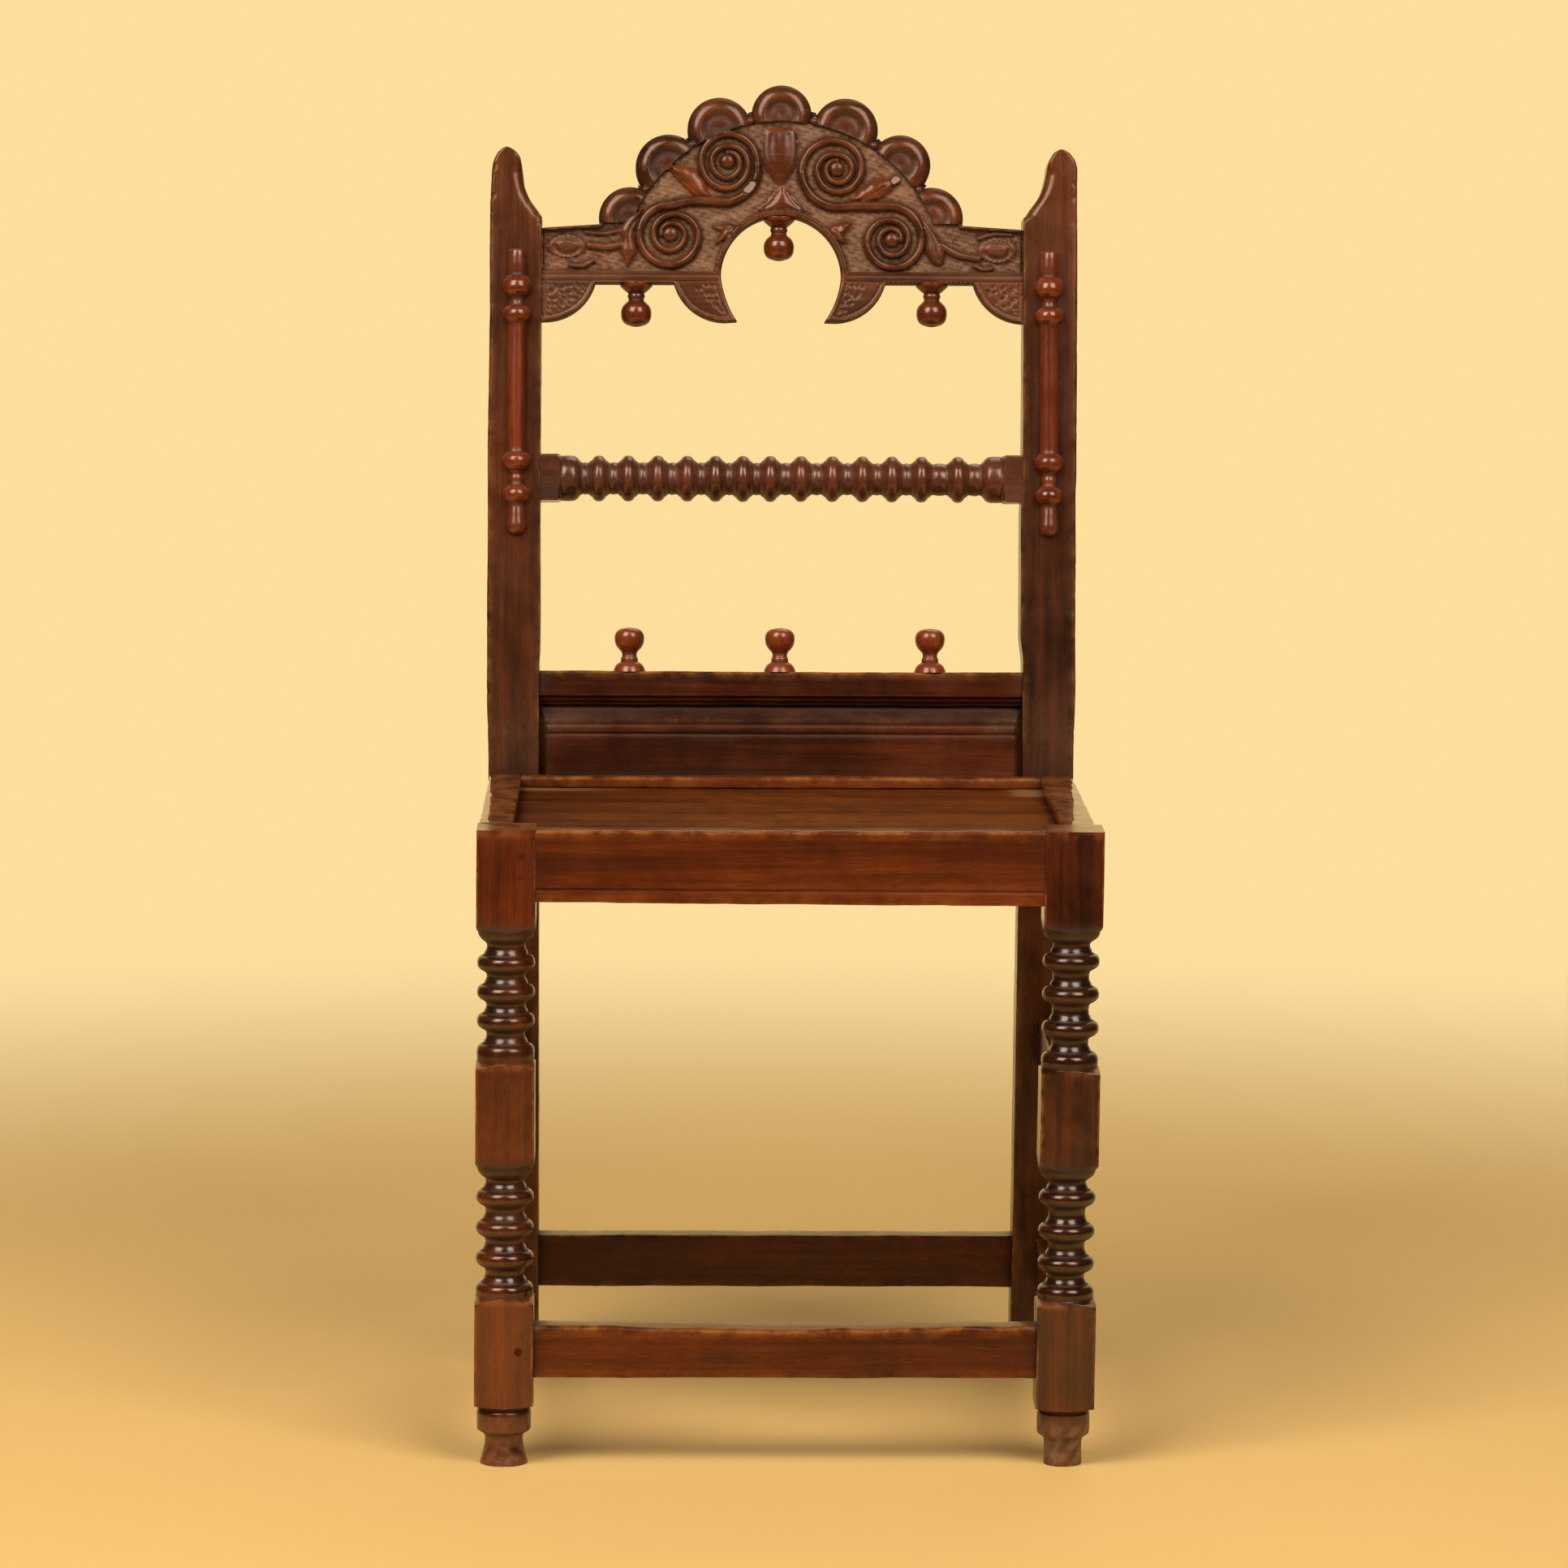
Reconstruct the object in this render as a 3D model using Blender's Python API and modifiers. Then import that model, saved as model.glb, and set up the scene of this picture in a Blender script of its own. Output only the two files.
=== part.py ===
"""A joined and carved oak backstool, built as its separate timbers, turnings and pegs.

Units are metres and +Z is up. The origin is on the floor, in the middle of the stool's plan.
The pieces are drawn in two frames: the stool frame, whose Y runs back from the front faces of the
front legs, and the back frame, which leans with the posts from the bend just above the seat.
"""

import math

import bmesh
import bpy
from mathutils import Matrix, Vector

# The frame
WIDTH = 0.475
SEAT_DEPTH = 0.355
RAKE_DEGREES = 7.69
REAR_SPLAY = 0.013
KNEE_RISE = 0.006
GAP = 0.0003

# Front legs, from the floor up, and their turning
LEG = 0.0445
FOOT = 0.046
LOW_BLOCK = 0.0843
LOW_TURNING = 0.107
MID_BLOCK = 0.0744
HIGH_TURNING = 0.1088
TOP_BLOCK = 0.0735
LEG_RINGS = 3
LEG_RING_DIAMETER = 0.041
LEG_NECK_DIAMETER = 0.0275
LEG_RING_HEIGHT = 0.015
FIRST_RING_DROP = 0.030
BASE_RING_RISE = 0.006
SHOULDER_DROP = 0.012
FOOT_RING_DIAMETER = 0.039
FOOT_RING_HEIGHT = 0.015
FOOT_RING_RISE = 0.0355
FOOT_NECK_DIAMETER = 0.0286
FOOT_NECK_RISE = 0.024
FOOT_END_DIAMETER = 0.032

# Rear posts and their ears
POST = 0.041
EAR_FOOT = 0.0097
EAR_HEIGHT = 0.0579
EAR_COVE = 0.0115
EAR_COVE_LIFT = 0.0145
EAR_COVE_NECK = 0.0104
EAR_COVE_DROP = 0.0261
EAR_LIP = 0.0168
EAR_LIP_DROP = 0.0118
EAR_CROWN = 0.003
EAR_TIP = 0.0136
EAR_BROW = 0.0068
EAR_ROUND = 0.009

# Seat
RAIL_THICKNESS = 0.026
RAIL_HEIGHT = 0.0552
RAIL_SETBACK = 0.001
REAR_RAIL_SETBACK = 0.013
SEAT_SINK = 0.009
SEAT_THICKNESS = 0.012
SEAT_TONGUE = 0.007
FILLET_DEPTH = 0.014

# Stretchers
STRETCHER_HEIGHT = 0.0397
STRETCHER_THICKNESS = 0.022
STRETCHER_SETBACK = 0.004
STRETCHER_LIFT = 0.0027
REAR_STRETCHER_SETBACK = 0.009

# Back rails and panel, measured up the slope from the bend of the posts
BACK_THICKNESS = 0.024
BACK_SETBACK = 0.004
LOWER_RAIL_TOP = 0.0769
LOWER_RAIL_HEIGHT = 0.0257
PANEL_THICKNESS = 0.009
PANEL_SETBACK = 0.014
PANEL_TONGUE = 0.0062
FIELD_RAISE = 0.005
FIELD_MARGIN = 0.016
FIELD_BEVEL = 0.009
RING_RAIL_RISE = 0.2358
RING_RAIL_BLOCK = 0.038
RING_RAIL_BLOCK_LENGTH = 0.015
RING_RAIL_COLLAR = 0.0129
BACK_RINGS = 13
BACK_RING_DIAMETER = 0.0362
BACK_RING_WIDTH = 0.0136
BACK_REEL_DIAMETER = 0.0205
LAST_RING_INSET = 0.0224

# Crest, measured from its straight lower edge
CREST_RISE = 0.3936
CREST_SHOULDER = 0.0417
CREST_SHOULDER_SLOPE = 0.0031
LOBES = 7
LOBE_RADIUS = 0.0242
LOBE_CIRCLE = 0.136
LOBE_STEP_DEGREES = 22.12
LOBE_OVERRUN_DEGREES = 5
LOBE_NOTCH = 0.0034
ARCH_RADIUS = 0.0489
ARCH_RISE = 0.0061
ARCH_DROP = 0.055
CLAW_TIP = 0.0363
CLAW_BEAK = 0.0074
SCALLOP_RADIUS = 0.0435
SCALLOP_RISE = 0.0121
BRACKET_INSET = 0.0039

# Pendants and finials
PENDANT_LENGTH = 0.0345
FINIAL_LENGTH = 0.0364
FINIAL_SPACING = 0.122
KNOB_DIAMETER = 0.0226
KNOB_CROWN_DIAMETER = 0.0154
KNOB_CROWN_DROP = 0.0005
KNOB_BALL_DROP = 0.0113
KNOB_BALL_HALF = 0.0096
BALL_START_DEGREES = 45
BALL_END_DEGREES = 153
KNOB_NECK_DIAMETER = 0.0118
KNOB_NECK_TOP = 0.0128
KNOB_NECK_BOTTOM = 0.0085
KNOB_FLARE_DIAMETER = 0.0202
KNOB_FLARE_RISE = 0.005
KNOB_BASE_DIAMETER = 0.023
DOWEL_DIAMETER = 0.008
DOWEL_LENGTH = 0.012

# Split spindles on the fronts of the posts, from the top down
SPINDLE_INSET = 0.022
SPINDLE_TOP = 0.0277
SPINDLE_BEAD_DIAMETER = 0.0223
SPINDLE_BARREL_DIAMETER = 0.0155
SPINDLE_SHAFT_DIAMETER = 0.0145
SPINDLE_NECK_DIAMETER = 0.012
SPINDLE_CAP_DIAMETER = 0.0112
SPINDLE_CAP_ROUND = 0.0059
SPINDLE_CAP_LENGTH = 0.0235
SPINDLE_BALL_NECK_DIAMETER = 0.014
SPINDLE_BALL_LENGTH = 0.0175
SPINDLE_NECK_LENGTH = 0.0065
SPINDLE_RING_LENGTH = 0.0135
SPINDLE_SHAFT_LENGTH = 0.1035
SPINDLE_VASE_LENGTH = 0.0175
SPINDLE_VASE_SHOULDER = 0.0045
SPINDLE_DROP_LENGTH = 0.0345
SPINDLE_TIP_DIAMETER = 0.0109
SPINDLE_TIP_ROUND = 0.0022

# Joints
TENON_THICKNESS = 0.009
TENON_INSET = 0.010
REAR_TENON_INSET = 0.015
TENON_SHOULDER = 0.008
TENON_WEB = 0.0035
BACK_TENON_LENGTH = 0.020
CREST_TENON_HEIGHT = 0.032
RING_RAIL_TENON_HEIGHT = 0.024
TENON_ROOT = 0.005
PEG_DIAMETER = 0.008
PEG_TAIL = 0.007
RAIL_PEG_INSET = 0.0111
CREST_PEG_INSET = 0.009

# Facets
MERGE = 0.00001
LEG_STEPS = 20
RAIL_STEPS = 16
KNOB_STEPS = 14
SPINDLE_STEPS = 16
PEG_SIDES = 8
RING_FACETS = 4
LOBE_FACETS = 8
SCALLOP_FACETS = 5
ARCH_FACETS = 6
COVE_FACETS = 6
BROW_FACETS = 4

# Finishes: colour as seen, roughness
POST_OAK = ((80, 40, 24), 0.38)
LEG_OAK = ((84, 38, 20), 0.34)
RAIL_OAK = ((95, 42, 18), 0.36)
SEAT_OAK = ((104, 54, 24), 0.30)
CARVED_OAK = ((96, 58, 38), 0.48)
TURNED_OAK = ((122, 56, 34), 0.30)
PEG_OAK = ((62, 32, 20), 0.50)

# Levels and places that follow from the dimensions
MID_BLOCK_BOTTOM = FOOT + LOW_BLOCK + LOW_TURNING
TOP_BLOCK_BOTTOM = MID_BLOCK_BOTTOM + MID_BLOCK + HIGH_TURNING
SEAT_HEIGHT = TOP_BLOCK_BOTTOM + TOP_BLOCK
RAIL_BOTTOM = SEAT_HEIGHT - RAIL_HEIGHT
SEAT_TOP = SEAT_HEIGHT - SEAT_SINK
SEAT_BOTTOM = SEAT_TOP - SEAT_THICKNESS
REAR_RAIL_TOP = SEAT_BOTTOM - GAP
KNEE = SEAT_HEIGHT + KNEE_RISE
RAKE = math.radians(RAKE_DEGREES)
LEG_AXIS = WIDTH / 2 - LEG / 2
LEG_INNER = WIDTH / 2 - LEG
POST_INNER = WIDTH / 2 - POST
RAIL_INNER = WIDTH / 2 - RAIL_SETBACK - RAIL_THICKNESS
LEG_TENON = LEG - TENON_INSET - TENON_THICKNESS - TENON_WEB
POST_TENON = POST - TENON_INSET - TENON_THICKNESS - TENON_WEB
LOW_STRETCHER_MIDDLE = FOOT + LOW_BLOCK / 2 + STRETCHER_LIFT
HIGH_STRETCHER_MIDDLE = MID_BLOCK_BOTTOM + MID_BLOCK / 2
SHOULDER_RISE = CREST_RISE + CREST_SHOULDER
EAR_BOTTOM = SHOULDER_RISE + EAR_FOOT
EAR_TOP = EAR_BOTTOM + EAR_HEIGHT
LOWER_RAIL_BOTTOM = LOWER_RAIL_TOP - LOWER_RAIL_HEIGHT
CLAW_CENTRE = CLAW_TIP + CLAW_BEAK
BRACKET_CENTRE = POST_INNER - BRACKET_INSET
PENDANT_SPACING = (CLAW_CENTRE + BRACKET_CENTRE) / 2
DEPTH = SEAT_DEPTH + EAR_TOP * math.sin(RAKE) + POST * math.cos(RAKE)

SIDES = (("left", -1), ("right", 1))

# Turns of a flat outline: up on its edge facing front, or up on its edge facing sideways
FACING_FRONT = Matrix.Rotation(math.radians(90), 4, "X")
FACING_SIDE = Matrix(((0, 0, 1, 0), (1, 0, 0, 0), (0, 1, 0, 0), (0, 0, 0, 1)))


def clear_scene():
    for old in list(bpy.data.objects):
        bpy.data.objects.remove(old, do_unlink=True)
    for old in list(bpy.data.collections):
        bpy.data.collections.remove(old)


def new_collection(name):
    collection = bpy.data.collections.new(name)
    bpy.context.scene.collection.children.link(collection)
    return collection


def new_empty(name, collection, parent, location, lean):
    empty = bpy.data.objects.new(name, None)
    collection.objects.link(empty)
    empty.parent = parent
    empty.location = location
    empty.rotation_euler = (-lean, 0.0, 0.0)
    return empty


def linear(channel):
    value = channel / 255
    if value <= 0.04045:
        return value / 12.92
    return ((value + 0.055) / 1.055) ** 2.4


def oak(name, finish):
    """A wood finish of its own for one piece."""
    colour, roughness = finish
    material = bpy.data.materials.new(name + "_oak")
    material.use_nodes = True
    shader = material.node_tree.nodes["Principled BSDF"]
    shader.inputs["Base Color"].default_value = (*[linear(channel) for channel in colour], 1.0)
    shader.inputs["Roughness"].default_value = roughness
    shader.inputs["Metallic"].default_value = 0.0
    return material


def add_part(name, mesh, parent, finish):
    part = bpy.data.objects.new(name, mesh)
    PARTS.objects.link(part)
    part.parent = parent
    part.data.materials.append(oak(name, finish))
    return part


def add_cutter(name, mesh, parent):
    cutter = bpy.data.objects.new(name, mesh)
    CUTTERS.objects.link(cutter)
    cutter.parent = parent
    cutter.hide_render = True
    cutter.display_type = "WIRE"
    return cutter


def boolean(part, operation, cutter):
    modifier = part.modifiers.new(operation.lower() + "_" + cutter.name, "BOOLEAN")
    modifier.operation = operation
    modifier.object = cutter
    modifier.solver = "EXACT"


def mesh_from(bm, name):
    mesh = bpy.data.meshes.new(name)
    bm.to_mesh(mesh)
    bm.free()
    return mesh


def boxes_mesh(name, boxes):
    """Boxes given by their lowest and highest corners."""
    bm = bmesh.new()
    for low, high in boxes:
        low = Vector(low)
        high = Vector(high)
        place = Matrix.Translation((low + high) / 2) @ Matrix.Diagonal((*(high - low), 1.0))
        bmesh.ops.create_cube(bm, size=1.0, matrix=place)
    return mesh_from(bm, name)


def grown(box, amount):
    low, high = box
    return tuple(value - amount for value in low), tuple(value + amount for value in high)


def plate_mesh(name, outline, near, far, turn):
    """A flat outline with a thickness, from near to far along the direction that it faces."""
    curve = bpy.data.curves.new(name, "CURVE")
    curve.dimensions = "2D"
    curve.fill_mode = "BOTH"
    curve.extrude = (far - near) / 2
    spline = curve.splines.new("POLY")
    spline.points.add(len(outline) - 1)
    for point, (across, up) in zip(spline.points, outline):
        point.co = (across, up, 0.0, 1.0)
    spline.use_cyclic_u = True
    holder = bpy.data.objects.new(name, curve)
    bpy.context.scene.collection.objects.link(holder)
    graph = bpy.context.evaluated_depsgraph_get()
    mesh = bpy.data.meshes.new_from_object(holder.evaluated_get(graph))
    bpy.data.objects.remove(holder)
    bpy.data.curves.remove(curve)
    bm = bmesh.new()
    bm.from_mesh(mesh)
    bmesh.ops.remove_doubles(bm, verts=bm.verts, dist=MERGE)
    bm.to_mesh(mesh)
    bm.free()
    thickness_axis = turn @ Vector((0.0, 0.0, 1.0))
    middle = (near + far) / 2
    shift = Vector([abs(value) * middle for value in thickness_axis])
    mesh.transform(Matrix.Translation(shift) @ turn)
    mesh.name = name
    return mesh


def cylinders_mesh(name, cylinders, sides):
    """Cylinders given by start, end and diameter."""
    bm = bmesh.new()
    for start, end, diameter in cylinders:
        start = Vector(start)
        end = Vector(end)
        run = end - start
        turn = run.to_track_quat("Z", "Y").to_matrix().to_4x4()
        bmesh.ops.create_cone(
            bm,
            cap_ends=True,
            segments=sides,
            radius1=diameter / 2,
            radius2=diameter / 2,
            depth=run.length,
            matrix=Matrix.Translation((start + end) / 2) @ turn,
        )
    return mesh_from(bm, name)


def profile_mesh(name, profile):
    """A turned profile of radius and height, running down its outer side."""
    mesh = bpy.data.meshes.new(name)
    points = [(radius, 0.0, height) for radius, height in profile]
    edges = [(index, index + 1) for index in range(len(points) - 1)]
    mesh.from_pydata(points, edges, [])
    return mesh


def turn_on_lathe(piece, steps):
    screw = piece.modifiers.new("lathe", "SCREW")
    screw.axis = "Z"
    screw.angle = math.tau
    screw.steps = steps
    screw.render_steps = steps
    screw.use_merge_vertices = True
    screw.merge_threshold = MERGE
    screw.use_smooth_shade = True


def arc(centre, radius, start, end, count):
    """Points along an arc, its angles in radians."""
    points = []
    for index in range(count + 1):
        angle = start + (end - start) * index / count
        points.append((centre[0] + radius * math.cos(angle), centre[1] + radius * math.sin(angle)))
    return points


def curve_points(start, start_pull, end_pull, end, count):
    """Points along a cubic curve."""
    points = []
    for index in range(count + 1):
        t = index / count
        weights = ((1 - t) ** 3, 3 * t * (1 - t) ** 2, 3 * t * t * (1 - t), t ** 3)
        stops = (start, start_pull, end_pull, end)
        across = sum(weight * stop[0] for weight, stop in zip(weights, stops))
        up = sum(weight * stop[1] for weight, stop in zip(weights, stops))
        points.append((across, up))
    return points


def swell(middle, length, neck, crown):
    """A half-round ring of a turned profile, from its upper to its lower edge."""
    points = []
    for index in range(RING_FACETS + 1):
        angle = math.pi * index / RING_FACETS
        radius = neck / 2 + (crown - neck) / 2 * math.sin(angle)
        points.append((radius, middle + length / 2 * math.cos(angle)))
    return points


def post_front(height):
    """Y of a post's front face below the bend."""
    return SEAT_DEPTH + REAR_SPLAY * (KNEE - height) / KNEE


def post_back(height):
    return post_front(height) + POST


def back_level(inward, rise):
    """Y of a point of the back frame."""
    return SEAT_DEPTH + inward * math.cos(RAKE) + rise * math.sin(RAKE)


def cross_tenons(shoulder, reach, y_range, z_range):
    """The two end tenons of a timber that runs across the stool."""
    boxes = []
    for _, side in SIDES:
        ends = sorted((side * (shoulder - TENON_ROOT), side * (shoulder + reach)))
        boxes.append(((ends[0], y_range[0], z_range[0]), (ends[1], y_range[1], z_range[1])))
    return boxes


def tenoned(part, boxes, parent, mortises):
    """Join tenons to a timber, and list the mortises that take them."""
    tenons = add_cutter(part.name + "_tenons", boxes_mesh(part.name + "_tenons", boxes), parent)
    boolean(part, "UNION", tenons)
    mortises.extend(grown(box, GAP) for box in boxes)


def cross_timber(name, shoulder, reach, y_range, z_range, tenon_y, tenon_z, frame, finish):
    """A plain timber across the stool, tenoned at both ends, in the stool or the back frame."""
    parent, mortises = frame
    length = shoulder - GAP
    body = ((-length, y_range[0], z_range[0]), (length, y_range[1], z_range[1]))
    part = add_part(name, boxes_mesh(name, [body]), parent, finish)
    boxes = cross_tenons(shoulder, reach, (tenon_y, tenon_y + TENON_THICKNESS), tenon_z)
    tenoned(part, boxes, parent, mortises)
    return part


def inset_range(low, high, amount):
    return low + amount, high - amount


def leg_profile():
    """The lathe shape of a front leg. It is wider than the square at the blocks."""
    corner = LEG
    profile = [(0.0, SEAT_HEIGHT + GAP), (corner, SEAT_HEIGHT + GAP)]
    zones = (
        (TOP_BLOCK_BOTTOM, MID_BLOCK_BOTTOM + MID_BLOCK),
        (MID_BLOCK_BOTTOM, FOOT + LOW_BLOCK),
    )
    for top, bottom in zones:
        profile += [(corner, top + SHOULDER_DROP), (LEG / 2, top)]
        profile.append((LEG_NECK_DIAMETER / 2, top - SHOULDER_DROP))
        lowest = bottom + BASE_RING_RISE
        pitch = (top - FIRST_RING_DROP - lowest) / LEG_RINGS
        for index in range(LEG_RINGS):
            middle = lowest + pitch * (LEG_RINGS - index)
            profile += swell(middle, LEG_RING_HEIGHT, LEG_NECK_DIAMETER, LEG_RING_DIAMETER)
        profile.append((LEG_NECK_DIAMETER / 2, lowest + LEG_RING_HEIGHT / 2))
        profile += [(LEG_RING_DIAMETER / 2, lowest), (corner, bottom - SHOULDER_DROP)]
    profile += [(corner, FOOT + SHOULDER_DROP), (FOOT_RING_DIAMETER / 2, FOOT)]
    profile += swell(FOOT_RING_RISE, FOOT_RING_HEIGHT, FOOT_NECK_DIAMETER, FOOT_RING_DIAMETER)
    profile.append((FOOT_NECK_DIAMETER / 2, FOOT_NECK_RISE))
    profile += [(FOOT_END_DIAMETER / 2, 0.0), (FOOT_END_DIAMETER / 2, -GAP), (0.0, -GAP)]
    return profile


def make_legs(frame):
    legs = []
    for word, side in SIDES:
        name = "front_leg_" + word
        middle = side * LEG_AXIS
        bar = ((middle - LEG / 2, 0.0, 0.0), (middle + LEG / 2, LEG, SEAT_HEIGHT))
        leg = add_part(name, boxes_mesh(name, [bar]), frame[0], LEG_OAK)
        lathe = add_cutter(name + "_lathe", profile_mesh(name + "_lathe", leg_profile()), frame[0])
        lathe.location = (middle, LEG / 2, 0.0)
        turn_on_lathe(lathe, LEG_STEPS)
        boolean(leg, "INTERSECT", lathe)
        legs.append(leg)
    return legs


def post_outline():
    """A post seen from the side: splayed below the bend, raked above it."""
    length = EAR_TOP + EAR_FOOT
    below = Vector((-REAR_SPLAY, KNEE)).normalized()
    above = Vector((math.sin(RAKE), math.cos(RAKE)))
    below_back = Vector((below.y, -below.x))
    above_back = Vector((above.y, -above.x))
    mitre = (below_back + above_back) / (1 + below_back.dot(above_back)) * POST
    knee = Vector((SEAT_DEPTH, KNEE))
    top = knee + above * length
    foot = Vector((SEAT_DEPTH + REAR_SPLAY, 0.0))
    foot_back = foot + Vector((POST / below.y, 0.0))
    return [foot, foot_back, knee + mitre, top + above_back * POST, top, knee]


def ear_waste(side):
    """What is cut from the head of a post to leave its ear, in the back frame."""
    inner = POST_INNER
    outer = WIDTH / 2
    tip = (outer - EAR_TIP, EAR_TOP)
    lip = (inner + EAR_LIP, EAR_TOP - EAR_LIP_DROP)
    cove_foot = (inner, EAR_BOTTOM)
    cove = curve_points(
        cove_foot,
        (inner + EAR_COVE, EAR_BOTTOM + EAR_COVE_LIFT),
        (inner + EAR_COVE_NECK, EAR_TOP - EAR_COVE_DROP),
        lip,
        COVE_FACETS,
    )
    crown = curve_points(
        lip,
        (lip[0] + EAR_CROWN, tip[1]),
        (tip[0] - EAR_CROWN, tip[1]),
        tip,
        BROW_FACETS,
    )
    shoulder = (outer, EAR_TOP - EAR_ROUND)
    brow = curve_points(tip, (tip[0] + EAR_BROW, tip[1]), (outer, tip[1]), shoulder, BROW_FACETS)
    past = LEG
    frame = [(outer + past, shoulder[1]), (outer + past, EAR_TOP + past)]
    frame += [(inner - past, EAR_TOP + past), (inner - past, EAR_BOTTOM)]
    outline = cove + crown[1:] + brow[1:] + frame
    return [(side * across, up) for across, up in outline]


def make_posts(level, raked):
    posts = []
    for word, side in SIDES:
        name = "rear_post_" + word
        near, far = sorted((side * POST_INNER, side * WIDTH / 2))
        mesh = plate_mesh(name, post_outline(), near, far, FACING_SIDE)
        post = add_part(name, mesh, level[0], POST_OAK)
        waste = plate_mesh(name + "_ear", ear_waste(side), -POST, POST * 2, FACING_FRONT)
        boolean(post, "DIFFERENCE", add_cutter(name + "_ear", waste, raked[0]))
        posts.append(post)
    return posts


def make_cross_timbers(level):
    """The front and rear seat rails and stretchers."""
    low = LOW_STRETCHER_MIDDLE - STRETCHER_HEIGHT / 2
    high = LOW_STRETCHER_MIDDLE + STRETCHER_HEIGHT / 2
    rear_back = post_back((RAIL_BOTTOM + REAR_RAIL_TOP) / 2)
    foot_back = post_back(LOW_STRETCHER_MIDDLE)
    front_rail = cross_timber(
        "front_seat_rail", LEG_INNER, LEG_TENON,
        (RAIL_SETBACK, RAIL_SETBACK + RAIL_THICKNESS), (RAIL_BOTTOM, SEAT_HEIGHT),
        TENON_INSET, inset_range(RAIL_BOTTOM, SEAT_HEIGHT, TENON_SHOULDER), level, RAIL_OAK,
    )
    front_stretcher = cross_timber(
        "front_stretcher", LEG_INNER, LEG_TENON,
        (STRETCHER_SETBACK, STRETCHER_SETBACK + STRETCHER_THICKNESS), (low, high),
        TENON_INSET, inset_range(low, high, TENON_SHOULDER), level, RAIL_OAK,
    )
    rear_rail = cross_timber(
        "rear_seat_rail", POST_INNER, POST_TENON,
        (rear_back - REAR_RAIL_SETBACK - RAIL_THICKNESS, rear_back - REAR_RAIL_SETBACK),
        (RAIL_BOTTOM, REAR_RAIL_TOP),
        rear_back - REAR_TENON_INSET - TENON_THICKNESS,
        inset_range(RAIL_BOTTOM, REAR_RAIL_TOP, TENON_SHOULDER), level, RAIL_OAK,
    )
    rear_stretcher = cross_timber(
        "rear_stretcher", POST_INNER, POST_TENON,
        (foot_back - REAR_STRETCHER_SETBACK - STRETCHER_THICKNESS, foot_back - REAR_STRETCHER_SETBACK),
        (low, high), foot_back - REAR_TENON_INSET - TENON_THICKNESS,
        inset_range(low, high, TENON_SHOULDER), level, RAIL_OAK,
    )
    return front_rail, front_stretcher, rear_rail, rear_stretcher


def side_timber(name, side, setback, thickness, bottom, top, level):
    """A timber from a front leg back to a post, whose rear end follows the post's slope."""
    parent, mortises = level
    outer = side * (WIDTH / 2 - setback)
    inner = side * (WIDTH / 2 - setback - thickness)
    outline = [
        (LEG + GAP, bottom),
        (post_front(bottom) - GAP, bottom),
        (post_front(top) - GAP, top),
        (LEG + GAP, top),
    ]
    near, far = sorted((outer, inner))
    part = add_part(name, plate_mesh(name, outline, near, far, FACING_SIDE), parent, RAIL_OAK)
    tenon_x = sorted((side * (WIDTH / 2 - TENON_INSET), side * (WIDTH / 2 - TENON_INSET - TENON_THICKNESS)))
    tenon_z = inset_range(bottom, top, TENON_SHOULDER)
    rear = post_front((bottom + top) / 2)
    boxes = [
        ((tenon_x[0], LEG - LEG_TENON, tenon_z[0]), (tenon_x[1], LEG + TENON_ROOT, tenon_z[1])),
        ((tenon_x[0], rear - TENON_ROOT, tenon_z[0]), (tenon_x[1], rear + POST_TENON, tenon_z[1])),
    ]
    tenoned(part, boxes, parent, mortises)
    return part


def make_side_timbers(level):
    rails = []
    stretchers = []
    for word, side in SIDES:
        rails.append(side_timber(
            word + "_seat_rail", side, RAIL_SETBACK, RAIL_THICKNESS, RAIL_BOTTOM, SEAT_HEIGHT, level,
        ))
        for place, middle in (("low", LOW_STRETCHER_MIDDLE), ("high", HIGH_STRETCHER_MIDDLE)):
            name = word + "_" + place + "_stretcher"
            bottom = middle - STRETCHER_HEIGHT / 2
            top = middle + STRETCHER_HEIGHT / 2
            stretchers.append(side_timber(
                name, side, STRETCHER_SETBACK, STRETCHER_THICKNESS, bottom, top, level,
            ))
    return rails, stretchers


def seat_outline(growth):
    """Plan of the seat board, notched round the legs and the posts."""
    front = RAIL_SETBACK + RAIL_THICKNESS - SEAT_TONGUE + GAP - growth
    side = RAIL_INNER + SEAT_TONGUE - GAP + growth
    leg_side = LEG_INNER - GAP + growth * 2
    leg_back = LEG + GAP - growth * 2
    post_side = POST_INNER - GAP
    post_face = post_front(SEAT_TOP) - GAP + growth * 2
    drop = (SEAT_BOTTOM - KNEE) / math.cos(RAKE)
    rear = back_level(PANEL_SETBACK, drop) - GAP * 2
    half = [
        (leg_side, front),
        (leg_side, leg_back),
        (side, leg_back),
        (side, post_face),
        (post_side, post_face),
        (post_side, rear),
    ]
    return half + [(-across, depth) for across, depth in reversed(half)]


def make_seat(level, grooved):
    parent = level[0]
    board = plate_mesh("seat_panel", seat_outline(0.0), SEAT_BOTTOM, SEAT_TOP, Matrix.Identity(4))
    add_part("seat_panel", board, parent, SEAT_OAK)
    flat = Matrix.Identity(4)
    groove = plate_mesh("seat_groove", seat_outline(GAP), SEAT_BOTTOM - GAP, SEAT_TOP + GAP, flat)
    cutter = add_cutter("seat_groove", groove, parent)
    for rail in grooved:
        boolean(rail, "DIFFERENCE", cutter)
    back = post_front(SEAT_HEIGHT) - GAP
    reach = RAIL_INNER - GAP
    strip = ((-reach, back - FILLET_DEPTH, SEAT_TOP + GAP), (reach, back, SEAT_HEIGHT))
    add_part("seat_back_fillet", boxes_mesh("seat_back_fillet", [strip]), parent, RAIL_OAK)


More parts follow.
